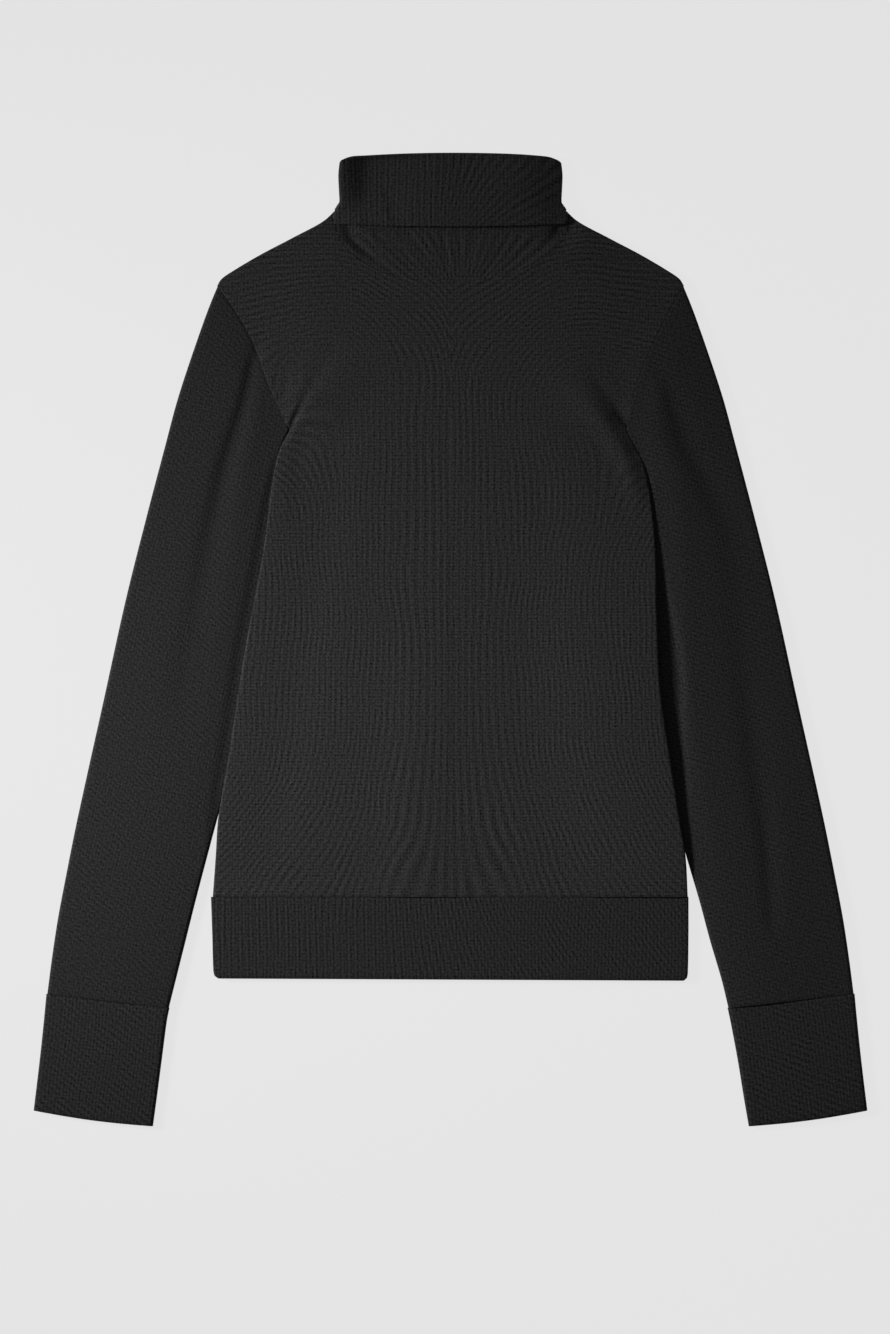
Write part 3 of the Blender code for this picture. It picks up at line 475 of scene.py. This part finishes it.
def bodyGrain(x, y):
    lines = bodyLines
    share = ease(x, *lines["sides"])
    rise, centre = y - mix(*lines["level"], share), mix(*lines["out"], share)
    out = centre - abs(x) * (1 - lines["fan"] * fade(y, *lines["fanLevels"]))
    level = rise if rise > 0 else -lines["bend"] * (1 - math.exp(rise / lines["bend"]))
    arcs = math.hypot(out if out > 0 else lines["outerShare"] * out, level)
    strength = mix(lines["least"], 1.0, ease(math.hypot(out, rise), *lines["strongFrom"]))
    across = mix(arcs, out, ease(-rise, *lines["upright"])) - centre
    return across, ease(abs(x), *lines["swayAcross"]), strength


panelGrid = {  # width beside the neck, first rows above the hem band, levels of the finer rows, last level
    "beside": 97, "aboveBand": (0.0, 0.8, 1.8, 3), "creases": (148, 204), "top": 274}


def panel(face, name, material, size):
    cut, grid = bodyCut, panelGrid
    neckHalf, armpit, seam = cut["neckHalf"], cut["armpit"], cut["bandSeam"]
    dense = size / frontPanel["fineStep"] if face == "front" else 1
    if dense > 1:  # the narrow creases of the chest need a closer grid
        fineShare = frontPanel["fineShare"]
        shares = between(0.0, fineShare, round(grid["beside"] / size * fineShare * dense))
        shares += steps(fineShare, 1.0, size / grid["beside"])[:-1]
    else:
        shares = between(0.0, 1.0, round(grid["beside"] / size))
    columns = [(-1, 0.0, roll) for roll in fineRoll] + [(-1, share, inside) for share in shares]
    columns += [(0, angle, inside) for angle in (-90, *neckAngles(face, size), 90)]
    columns += [(1, share, inside) for share in reversed(shares)]
    columns += [(1, 0.0, roll) for roll in reversed(fineRoll)]
    low, high = grid["creases"]
    levels = rowsBetween([seam + up for up in grid["aboveBand"]], size, [low])
    levels += steps(low, high, size / dense)[1:] + steps(high, grid["top"], size)[1:]
    rows = [(level, inside) for level in levels]
    rows += [(cut["shoulderPoint"], roll) for roll in reversed(fineRoll)]

    def place(column, row):
        side, at, sideRoll = columns[column]
        level, topRoll = rows[row]
        if side:
            reach = cut["edgeReach"] if sideRoll is inside else 0.0
            topX = mix(bodyEdge(side, cut["shoulderPoint"]) - reach, neckHalf, at) - sideRoll[1]
            topY = shoulderLine(topX)
        else:
            topX, topY = neckline(at, face)
        rise, down = 1.0, 0.0
        if topRoll is not inside:
            atX = topX * side if side else topX
            height = (frontPlain(atX, topY) - backPlain(atX, topY) - knit["seamGap"]) / 2
            folded = ease(abs(topX), *(neckHalf + out for out in cut["shoulderFold"]))
            folded *= limit((height - knit["jerseyWall"]) / knit["rollRoom"])
            down = mix(topRoll[1], topRoll[0], folded)
            rise *= mix(1.0, topRoll[2], folded)
        x, y = topX, level
        if level > armpit:
            y = mix(armpit, topY, (level - armpit) / (cut["shoulderPoint"] - armpit)) - down
        if side:
            x = mix(bodyEdge(side, level - down) - reach, neckHalf, at)
            if sideRoll is not inside:
                folded = fade(level, armpit, armpit + cut["foldEnds"])
                x -= mix(sideRoll[1], sideRoll[0], folded)
                rise *= mix(1.0, sideRoll[2], folded)
            x *= side
        top, bottom = frontPlain(x, y), backPlain(x, y)
        middle = (top + bottom) / 2
        gap = knit["seamGap"]
        gap += knit["armpitGap"] * (ease(y, *knit["armpitOpens"]) - ease(y, *knit["armpitCloses"]))
        gap += knit["neckGap"] * ease(y, *cut["besideNeck"]["level"]) * fade(abs(x), *knit["neckGapAcross"])
        if face == "front":
            outside = top - foldSink(frontPanel["creases"], x, y) - seamSink(y - seam)
            outside -= armholeSink(bodyEdge(x, y) - abs(x), y, x, "body")
            return x, y, mix(middle + gap / 2, outside, rise), x, y
        lift = foldSink(backPanel["creases"], x, y) + knit["undersideShare"] * seamSink(y - seam)
        return x, y, mix(middle - gap / 2, bottom + lift, rise), -x, y

    return clothShell(name, len(columns), len(rows), place, bodyGrain, knit["jerseyWall"], material,
                      flip=face == "back")


front = panel("front", "frontPanel", jersey, frontPanel["gridStep"])
back = panel("back", "backPanel", jersey, backPanel["gridStep"])
lay(front, "body_front")
lay(back, "body_back")

hemBand = {
    "gridStep": {"front": 3, "back": 4.0}, "width": 370, "hem": -270.4, "top": 4.6,
    "tuck": 0.4,  # under the body's edge, as at a sewn seam
    # how much lower the hem hangs in the middle, how much more at its left end, and up to where
    "sag": 1, "sagLeft": 0.9, "half": 190, "sagUp": 40,
    "edgeTurn": (0.9, 2.4),  # depth and width of the turn at the hem
    "hemRows": (0, 0.5, 1.3, 2.6), "seamRows": (2.6, 1.5, 0.7, 0),  # the grid's rows at both edges
    "side": [(-270.4, 185.6, 186.4), (-268.6, 188.2, 188.6), (-266, 189.4, 189.6), (-235, 190.4, 190.2),
             (-205.8, 191.4, 190.2)],
    # its wales lean, more and more towards the left
    "lean": 0.7, "leanAcross": (-80, 120), "leanMiddle": 240,
}


def bandGrain(x, y):
    return x + hemBand["lean"] * (y + hemBand["leanMiddle"]) * ease(x, *hemBand["leanAcross"]), 1.0, 1.0


def band(face, name, material):
    cut, size = hemBand, hemBand["gridStep"][face]
    hem, seam = cut["hem"], bodyCut["bandSeam"] - knit["seamGap"] + cut["tuck"]
    columns = [(0.0, roll, -1) for roll in fineRoll]
    columns += [(share, inside, 0) for share in between(0.0, 1.0, round(cut["width"] / size))]
    columns += [(1.0, roll, 1) for roll in reversed(fineRoll)]
    levels = rowsBetween([hem + up for up in cut["hemRows"]], size, [seam - down for down in cut["seamRows"]])
    turnDepth, turnWidth = cut["edgeTurn"]

    def place(column, row):
        share, roll, side = columns[column]
        y = levels[row]
        reach = 0 if side else bodyCut["edgeReach"]
        x = mix(reach - curve(cut["side"], y, 1), curve(cut["side"], y, 2) - reach, share)
        if side:
            x -= side * roll[0]
        sink = seamSink(seam - y) + turnDepth * fade(y - hem, 0, turnWidth)
        y -= (cut["sag"] + cut["sagLeft"] * x / cut["half"]) * fade(y - hem, 0, cut["sagUp"])
        if face == "front":
            return x, y, mix((cut["top"] + knit["seamGap"]) / 2, cut["top"] - sink, roll[2]), x, y
        lift = knit["undersideShare"] * seamSink(seam - y)
        return x, y, mix((cut["top"] - knit["seamGap"]) / 2, lift, roll[2]), -x, y

    return clothShell(name, len(columns), len(levels), place, bandGrain, knit["ribWall"], material,
                      flip=face == "back")


bandFront = band("front", "hemBandFront", rib)
bandBack = band("back", "hemBandBack", rib)
lay(bandFront, "hem_band_front")
lay(bandBack, "hem_band_back")

sleeveCut = {
    "gridStep": 3.6, "length": 460, "points": (34, 24, 6),  # across its upper and under wall, round a fold
    # the grid's rows at both ends, in shares of the length
    "topRows": (0, 0.002, 0.004, 0.007, 0.012), "endRows": [1 - k / 460 for k in (5, 3.4, 2.2, 1.2, 0.5, 0)],
    "outerEnds": (283, -283), "innerEnds": (167, -294.2),  # levels at both ends of its folds
    "outer": [(-282.4, 322.2), (-256, 318.8), (-224, 314), (-192, 308), (-144, 298.4), (-48, 277.2),
              (32, 259.6), (96, 243.6), (160, 226.8), (192, 218.4), (224, 208.4), (256, 197.6),
              (272, 191.6), (283, 187)],
    "inner": [(-293.6, 225, 222), (-272, 219.6, 216.8), (-240, 211.6, 207.4), (-208, 203.6, 198.8),
              (-176, 195.2, 189.4), (-144, 186.7, 180.5), (-96, 173.2, 170.5), (-48, 163.5, 162),
              (-10, 157, 158), (31, 149, 155), (62, 143.5, 154.5), (92, 140.2, 155.6), (118, 138.4, 156),
              (142, 136.6, 150.8), (155, 134, 145), (167, 128.2, 140.2)],
    "bowEnds": 0.22,  # share of the length over which the armhole's curve dies out
    "puff": {"right": (0.9, 0.5), "left": (1.9, 0.7)},  # height, and how far across its crest lies
    "puffPower": 0.8, "puffBeside": (0, 26),
    "under": 3.5, "underEase": (40, 4, 44),  # its height under the body, and where that starts and ends
    # how wide a sleeve stays low beside the body that lies on it, and how wide its bank is beyond
    "groove": [(-172, 1.5, 1.5), (-140, 2, 2.4), (-97, 3, 8), (-65, 3, 11), (-33, 3, 15), (0, 3, 12.5),
               (42, 3, 5), (85, 2.4, 0.4), (128, 0.5, 0.2)],
    "bank": [(-60, 8, 7), (30, 8, 6), (90, 7, 3), (128, 4, 3)],
    "creases": [[(142, 167, 5, 0.5), (150, 153, 6, 0.9), (156, 137, 5, 0.9), (159, 116, 3, 0.4)]],
}
cuffCut = {
    "gridStep": 3, "length": 94, "points": (28, 20, 5),
    "topRows": (0, 0.006, 0.013, 0.024, 0.036), "endRows": (0.972, 0.985, 0.994, 1),
    "outerEnds": (-282.8, -376), "innerEnds": (-294, -388.6),
    "outer": [(-376, 333.2), (-336, 328.4), (-304, 325), (-282.8, 323)],
    "inner": [(-388.6, 237.8, 238.4), (-368, 235, 234.8), (-336, 230.8, 229.6), (-304, 226.6, 223.6),
              (-294, 224.6, 221.4)],
    "rise": 0.3, "belly": 1.6, "bellyAlong": (0.3, 1),  # its open edge bellies a little
    "edgeTurn": (0.8, 2.4),  # depth and width of the turn at that edge
}
tube = {
    "along": 0.86, "across": 0.5, "strength": 0.85,  # its grain crosses it aslant
    "axisFrom": 0.3,  # its wales run along its outer fold from this share of the length
    "foldReach": 1.3,  # how far its folds reach in, against half their height
    # and how much farther the left one's inner fold does near its upper end, in shares of the length
    "slant": 0.9, "slantStarts": (-0.02, 0.05), "slantEnds": (0.25, 0.5),
}


def tubeGrain(across, along):
    return tube["along"] * along + tube["across"] * across, 1.0, tube["strength"]


def sleeveTop(side, across, x, y):  # x is signed
    cut, name, column = sleeveCut, sideName(side), sideColumn(side)
    beside = abs(x) - bodyEdge(side, y)
    height, crest = cut["puff"][name]
    turn = math.pi * limit(across) ** (math.log(0.5) / math.log(crest))
    puff = height * max(0.0, math.sin(turn)) ** cut["puffPower"] * ease(beside, *cut["puffBeside"])
    low, high = bodyCut["onSleeve"][name]
    before, after, out = cut["underEase"]
    width = curve(cut["groove"], y, column)
    dip = fade(beside, width, width + curve(cut["bank"], y, column))
    dip *= ease(y, low - before, low) * fade(y, high + after, high + out)
    folds = foldSink(frontPanel["folds"], x, y, frontPanel["foldLean"]) + foldSink(cut["creases"], x, y)
    return mix(frontPanel["edgeTop"] + puff - folds, cut["under"], dip)


def flatLoop(front, back, fold):  # (place across, angle) round a flattened tube, from its points on each part
    arc = [90 * k / fold for k in range(fold + 1)]
    loop = [(0.0, angle) for angle in arc] + [(share, 90.0) for share in between(0, 1, front)]
    loop += [(1.0, angle) for angle in reversed(arc)] + [(1.0, -angle) for angle in arc[1:]]
    loop += [(share, -90.0) for share in reversed(between(0, 1, back))]
    return loop + [(0.0, -angle) for angle in reversed(arc)]


def flatTube(name, side, cut, top, bow, seams, wall, material):
    loop = flatLoop(*cut["points"])
    sections = rowsBetween(cut["topRows"], cut["gridStep"] / cut["length"], cut["endRows"])

    def foldPoint(fold, column, along):
        y = mix(*cut[fold + "Ends"], along)
        return curve(cut[fold], y, column), y

    (startX, startY), (endX, endY) = (foldPoint("outer", 1, along) for along in (tube["axisFrom"], 1))
    axisX, axisY = endX - startX, endY - startY
    length = math.hypot(axisX, axisY)
    axisX, axisY = axisX / length, axisY / length

    def place(column, row):
        along = sections[row]
        across, angle = loop[column]
        (x0, y0), (x1, y1) = foldPoint("outer", 1, along), foldPoint("inner", sideColumn(side), along)
        turn = math.radians(angle)
        width = math.hypot(x1 - x0, y1 - y0)
        slant = tube["slant"] * ease(along, *tube["slantStarts"]) * fade(along, *tube["slantEnds"])
        reach0 = tube["foldReach"] * top(0.0, x0, y0) / 2 / width
        reach1 = (tube["foldReach"] + (slant if side > 0 else 0.0)) * top(1.0, x1, y1) / 2 / width
        share = mix(reach0, 1 - reach1, across)
        if across in (0.0, 1.0):
            share = abs(across - (reach0, reach1)[int(across)] * (1 - math.cos(turn)))
        bowX, bowY = bow(along, share)
        x, y = mix(x0, x1, share) + bowX, mix(y0, y1, share) + bowY
        z = top(share, x, y) * (1 + math.sin(turn)) / 2
        if angle > 0:
            z -= seams(x, y, along) * math.sin(turn)
        return side * x, y, z, (x * axisY - y * axisX) * side, x * axisX + y * axisY

    return clothShell(name, len(loop), len(sections), place, tubeGrain, wall, material, flip=side < 0,
                      closed=True)


def sleeve(side, name, material):
    cut, column, length = sleeveCut, sideColumn(side), sleeveCut["length"]
    shoulder, armpit = cut["outerEnds"][0], cut["innerEnds"][0]

    def bow(along, share):  # the armhole's curve, which the first sections follow less and less
        y = mix(shoulder, armpit, share)
        chord = mix(curve(cut["outer"], shoulder, 1), curve(cut["inner"], armpit, column), share)
        start = curve(bodyCut["armhole"], y, column) - knit["tuck"]
        return (start - chord) * fade(along, 0.0, cut["bowEnds"]), 0.0

    def top(across, x, y):
        return sleeveTop(side, across, side * x, y)

    def seams(x, y, along):
        pastArmhole = max(0.0, x - bodyEdge(side, y) - knit["seamShift"])
        return seamSink((1 - along) * length) + armholeSink(pastArmhole, y, side, "sleeve")

    return flatTube(name, side, cut, top, bow, seams, knit["jerseyWall"], material)


def cuff(side, name, material):
    cut, length = cuffCut, cuffCut["length"]
    turnDepth, turnWidth = cut["edgeTurn"]

    def bow(along, share):
        return 0.0, -cut["belly"] * math.sin(math.pi * share) * ease(along, *cut["bellyAlong"])

    def top(across, x, y):
        return frontPanel["edgeTop"] + cut["rise"] * math.sin(math.pi * limit(across))

    def seams(x, y, along):
        return seamSink(along * length) + turnDepth * fade((1 - along) * length, 0, turnWidth)

    return flatTube(name, side, cut, top, bow, seams, knit["ribWall"], material)


for side, word in ((-1, "Right"), (1, "Left")):
    arm = sleeve(side, f"sleeve{word}", sleeveJerseyShaded)
    lay(arm, f"sleeve_{word.lower()}")
    wrist = cuff(side, f"cuff{word}", rib)
    lay(wrist, f"cuff_{word.lower()}")

rollCollar = {
    "gridStep": 2.6, "backGridStep": 3.6, "sidePoints": 6, "foldPoints": 7,
    # the grid's rows in shares of each part's height, single ones and from, to and by
    "standRows": (0, 0.006, 0.012, 0.02), "standSteps": ((0.03, 0.54, 0.024), (0.6, 1, 0.06)),
    "flapSteps": (0, 0.955, 0.045), "flapRows": (0.975, 0.988, 1),
    "top": 388.8, "arch": 3, "archHalf": 80,  # the fold at the top sinks this much this far out
    # its rounded corners: from how far out, how much they drop, and how far down that can be felt
    "cornerFrom": 76, "cornerDrop": 3, "cornerPower": 2, "cornerBelow": (0, 18),
    # the stand: the heights of its front and back, and how it meets the neck seam
    "standZ": (5.5, 3), "standHalf": 85.6, "standDeep": 98, "standNarrows": (0, 0.22),
    "seamOver": 1.2, "seamOverFront": -0.3, "seamOverPower": 6, "leavesBody": (0, 0.5),
    # the turned-down part: distance from the top, half-width, height of the front
    "flap": [(1.1, 87.9, 7.7), (5.8, 88.4, 7.8), (14, 88.8, 7.9), (28, 88.2, 7.9), (34, 88, 8),
             (37.5, 89, 8.1), (41, 91.4, 8.1), (44, 93, 8.1), (50, 93.6, 8.2), (58.6, 93.8, 8.2)],
    "flapBackZ": 0.8, "flapDeep": 58, "flapEnd": {"front": 59.4, "back": 72.8}, "edgeRise": 6.4,
    # its sides end higher, and the edge turns down from there to the front and the back
    "sideEnd": 45, "sideTurn": {"front": 3, "back": 14}, "backCorner": 0.7, "backCornerFrom": (0.8, 1),
    "sideDepth": 1.8,  # how far its sides are rounded
    # how far the turned-down part, the stand's front and its back sink at the left end, from which share
    # across and with what power, and the share of it that they rise at the right end
    "endSink": (3, 1.9, 0.7), "leftEnd": (0.45, 3), "rightEndShare": 0.9, "rightEnd": (0.76, 1),
    "endSinkBelow": (28, 56),
    "snug": 1.1, "snugAcross": (0.8, 1), "snugBelow": (30, 52),  # its lower ends lie closer
    # the front bulges in the middle
    "crown": 3.8, "crownBelow": (0, 45), "standCrown": 1.6, "standCrownBelow": (8, 40), "crownTurn": 1.5,
    "edgeDip": 0.5, "edgeDipFrom": (0.965, 1),  # the turned-down edge, and its mark in the stand
    "edgeGroove": 0.4, "grooveBelow": 0.6, "grooveWidth": 1.6,
    "dent": [(-62, 392, 16, 3.7), (-65, 366, 14, 3.1), (-70, 346, 10, 0.9)],  # in the turned-down part
    "dentLean": 2.2, "dentInStand": 0.5,
    "swell": [(54, 392, 34, -1.5), (57, 362, 34, -1.5), (62, 338, 26, -0.8)],  # and its bulge further left
    "swellLean": 0.6, "swellInStand": (0.7, 1),
    "hollows": [  # where the stand tucks in below the ends of the turned-down part
        [(-85, 334, 4.4, 1.6), (-78, 321, 4.8, 2.5), (-68, 310, 5, 2.1), (-55, 302, 5, 0.5)],
        [(94, 336, 4.4, 2), (87, 328, 4.4, 2.4), (80, 321, 4.4, 1.4), (70, 317, 6, 0.5)]],
    "pleats": [  # the fan of small pleats that the neck seam gathers
        [(-8, 288, 1.6, 0.2), (-20, 304, 2.4, 0.5), (-36, 328, 3.2, 0.4)],
        [(-1, 291, 1.4, 0.2), (-4, 308, 2.2, 0.5), (-6, 326, 2.8, 0.4)],
        [(7, 294, 1.4, 0.2), (7, 310, 2, 0.45), (6, 328, 2.6, 0.4)],
        [(14, 296, 1.4, 0.2), (17, 312, 2.2, 0.5), (20, 328, 2.8, 0.4)],
        [(27, 290, 1.8, 0.2), (34, 302, 2.6, 0.45), (44, 313, 3.2, 0.3)],
        [(-24, 294, 2, 0.1), (-38, 308, 3, 0.4), (-58, 324, 3.6, 0.3)],
        [(40, 294, 2, 0.1), (52, 306, 3.4, 0.35), (66, 314, 3.6, 0.2)]],
    "neckSeamShare": 0.3,  # of a seam's valley
    "mapTurn": 20,  # degrees round a side for each millimetre of the knit's map
    # the points that its grain fans out from, with the lines' spread, and where they are upright
    "standFan": (8, 262, 45), "flapFan": (-10, 300, 60), "flapUpright": (-40, 10), "flapFrom": (324, 329),
}


def collarGrain(x, y):  # fans out on the stand, and to the left over the turned-down part
    def fan(atX, atY, spread):
        return spread * math.atan2(x - atX, max(1.0, y - atY))

    cut = rollCollar
    flap = mix(x - cut["flapFan"][0], fan(*cut["flapFan"]), ease(x, *cut["flapUpright"]))
    return mix(fan(*cut["standFan"]), flap, ease(y, *cut["flapFrom"])), 1.0, 1.0


def collar(name, material):
    cut, wall = rollCollar, knit["ribWall"]
    crest = cut["top"] - wall / 2
    flapHalf, flapZ = cut["flap"][0][1:]
    standZ, standBackZ = cut["standZ"]
    sinkFlap, sinkStand, sinkBack = cut["endSink"]
    foldRadius = (flapZ - standZ) / 2
    arc = [90 - 90 * k / cut["sidePoints"] for k in range(cut["sidePoints"] + 1)]
    loop = [(-1.0, -angle) for angle in arc] + [(-1.0, angle) for angle in reversed(arc[:-1])]
    loop += [(angle / 90, 90.0) for angle in neckAngles("front", cut["gridStep"])]
    loop += [(1.0, angle) for angle in arc] + [(1.0, -angle) for angle in reversed(arc[:-1])]
    loop += [(angle / 90, -90.0) for angle in reversed(neckAngles("back", cut["backGridStep"]))]
    loop.append(loop[0])
    standShares = [*cut["standRows"], *(share for run in cut["standSteps"] for share in steps(*run))]
    rows = [("stand", share) for share in standShares]
    rows += [("fold", turn) for turn in between(0, 180, cut["foldPoints"])]
    rows += [("flap", share) for share in (*steps(*cut["flapSteps"]), *cut["flapRows"])]

    def mapShift(across, angle):  # the knit's map runs on round the sides
        return across * (90 - angle) / cut["mapTurn"]

    def topY(x, out, below=0.0):  # out is how far out the column crosses the fold
        corner = max(0.0, (out - cut["cornerFrom"]) / (flapHalf - cut["cornerFrom"])) ** cut["cornerPower"]
        drop = cut["cornerDrop"] * corner * fade(below, *cut["cornerBelow"])
        return crest - cut["arch"] * (x / cut["archHalf"]) ** 2 - drop

    def swell(x, y):
        return foldSink([cut["swell"]], x, y, cut["swellLean"])

    def dent(x, y):
        return foldSink([cut["dent"]], x, y, cut["dentLean"])

    def endSink(across, fromTop):
        start, power = cut["leftEnd"]
        leftEnd = max(0.0, (across - start) / (1 - start)) ** power
        bothEnds = leftEnd - cut["rightEndShare"] * ease(-across, *cut["rightEnd"])
        return bothEnds * fade(fromTop, *cut["endSinkBelow"])

    def place(column, row):
        across, angle = loop[column]
        part, at = rows[row]
        turn = math.radians(angle)
        level = math.sin(turn)
        face = "front" if level > 0 else "back"
        half, zFront, zBack, lower, fromTop = cut["standHalf"], standZ, standBackZ, 0.0, 0.0
        if part == "stand":
            half = mix(bodyCut["neckHalf"] - cut["seamOver"], half, ease(at, *cut["standNarrows"]))
            fromTop = (1 - at) * cut["standDeep"]
        elif part == "fold":
            lower = (1 - math.cos(math.radians(at))) / 2
            half, zFront = mix(half, flapHalf, lower), mix(standZ, flapZ, lower)
            zBack = mix(standBackZ, cut["flapBackZ"], lower)
        else:
            lower, zBack, fromTop = 1.0, cut["flapBackZ"], cut["flapDeep"] * at
            reach, end = abs(level) ** cut["sideTurn"][face], cut["flapEnd"][face]
            if face == "front":
                end -= cut["edgeRise"] * across ** 2
            else:
                reach *= 1 - cut["backCorner"] * ease(abs(across), *cut["backCornerFrom"])
            fall = mix(foldRadius, mix(cut["sideEnd"], end, reach) - wall / 2, at)
            half, zFront = curve(cut["flap"], fall, 1), curve(cut["flap"], fall, 2)
        sink, crown = endSink(across, fromTop), math.cos(across * cut["crownTurn"])
        zFront -= mix(sinkStand, sinkFlap, lower) * sink
        zBack -= mix(sinkBack, 0.0, lower) * sink
        if part == "stand":
            zFront += cut["standCrown"] * crown * ease(fromTop, *cut["standCrownBelow"])
        else:
            zFront += cut["crown"] * lower * crown * ease(fromTop, *cut["crownBelow"])
            zFront -= cut["snug"] * ease(abs(across), *cut["snugAcross"]) * ease(fromTop, *cut["snugBelow"])
        radius = (zFront - zBack) / 2
        sideDepth = min(radius, cut["sideDepth"])
        x = across * (half - sideDepth)
        out = abs(across) * (flapHalf - cut["sideDepth"])
        if abs(across) == 1:
            x += math.copysign(sideDepth * math.cos(turn), across)
            out += cut["sideDepth"] * math.cos(turn)
        z = (zFront + zBack) / 2 + radius * level
        if part == "stand":
            seamX, y = x, bodyCut["neckPoint"] + cut["seamOver"]
            if abs(across) < 1:
                over = mix(cut["seamOverFront"], cut["seamOver"], across ** cut["seamOverPower"])
                seamX, y = neckline(90 * across, face, over)
            leaves = ease(at, *cut["leavesBody"])
            x = mix(seamX, x, leaves)
            if at < cut["leavesBody"][1]:
                body = frontPlain(x, y) - wall / 2 if face == "front" else backPlain(x, y) + wall / 2
                seamZ = mix((frontPlain(x, y) + backPlain(x, y)) / 2, body, abs(level))
                z = mix(seamZ, z, leaves)
            y = mix(y, topY(x, out) - foldRadius, at)
            if face == "front":
                z -= (foldSink(cut["hollows"], x, y) + foldSink(cut["pleats"], x, y)) * level
                z -= cut["neckSeamShare"] * seamSink(at * cut["standDeep"]) * level
                edgeY = topY(x, out, cut["flapDeep"]) - cut["flapEnd"]["front"]
                edgeY += cut["edgeRise"] * across ** 2
                fromEdge = (y - edgeY + cut["grooveBelow"]) / cut["grooveWidth"]
                z -= cut["edgeGroove"] * math.exp(-fromEdge ** 2) * level
                z -= cut["dentInStand"] * dent(x, y) * level
                z -= swell(x, y) * level * ease(at, *cut["swellInStand"])
            mapY = y
        elif part == "fold":
            y = topY(x, out) - foldRadius * (1 - math.sin(math.radians(at)))
            mapY = y + foldRadius * math.radians(at)
            if face == "front":
                z -= swell(x, y) * level
        else:
            y = mapY = topY(x, out, fall) - fall
            if face == "front":
                z -= (cut["edgeDip"] * ease(at, *cut["edgeDipFrom"]) + dent(x, y)) * level
                z -= swell(x, y) * level
        return x, y, z, x + mapShift(across, angle), mapY

    return clothShell(name, len(loop), len(rows), place, collarGrain, wall, material, offset=0.0, closed=True)


roll = collar("rollCollar", collarRib)
lay(roll, "collar")

studio = {  # floor, light and camera, in metres, watts and degrees
    "floorSize": 12, "floorZ": -0.0004, "floorShade": "#e6e6e6",
    "floorGlow": 0.95, "floorOwn": 0.045,  # the light from behind it, and how much it reflects
    "ambient": 0.18,
    # a soft box with a grid, above the surface on the right sleeve's side
    "keyPlace": (-1.78, 0.36, 0.82), "keyAim": (-0.13, -0.13, 0.0), "keySize": 0.45, "keyPower": 5.0,
    "keySpread": 45.0,
    "cameraPlace": (-0.0044, -0.0216, 2.52), "lens": 85,
}
scene.view_settings.view_transform = "Standard"
bpy.ops.mesh.primitive_plane_add(size=studio["floorSize"], location=(0, 0, studio["floorZ"]))
floor = bpy.context.object
floor.name = "floor"
paper = bpy.data.materials.new("Pale matt paper backdrop")  # lit from behind, so it stays even
paper.use_nodes = True
pale = (*tint(studio["floorShade"]), 1)
fill(paper.node_tree.nodes["Principled BSDF"], {
    "Base Color": (*[studio["floorOwn"]] * 3, 1), "Roughness": 0.9, "Specular IOR Level": 0.0,
    "Emission Color": pale, "Emission Strength": studio["floorGlow"]})
floor.data.materials.append(paper)

lamp = bpy.data.lights.new("keyLight", "AREA")
lamp.shape, lamp.size, lamp.energy = "DISK", studio["keySize"], studio["keyPower"]
lamp.spread = math.radians(studio["keySpread"])
key = bpy.data.objects.new("keyLight", lamp)
scene.collection.objects.link(key)
key.location = studio["keyPlace"]
aim = [end - start for start, end in zip(studio["keyPlace"], studio["keyAim"])]
key.rotation_euler = Vector(aim).to_track_quat("-Z", "Y").to_euler()

world = scene.world or bpy.data.worlds.new("studio")
scene.world = world
world.use_nodes = True
sky = world.node_tree
sky.nodes.clear()
seen = node(sky, "ShaderNodeLightPath")
dim = node(sky, "ShaderNodeBackground", values={"Color": (1, 1, 1, 1), "Strength": studio["ambient"]})
flatPale = node(sky, "ShaderNodeBackground", values={"Color": pale, "Strength": 1.0})
blend = node(sky, "ShaderNodeMixShader", links={0: seen.outputs["Is Camera Ray"], 1: dim, 2: flatPale})
node(sky, "ShaderNodeOutputWorld", links={"Surface": blend})

lens = bpy.data.cameras.new("camera")
lens.lens, lens.sensor_fit, lens.sensor_height = studio["lens"], "VERTICAL", 36
camera = bpy.data.objects.new("camera", lens)
scene.collection.objects.link(camera)
camera.location = studio["cameraPlace"]
scene.camera = camera

print("done")
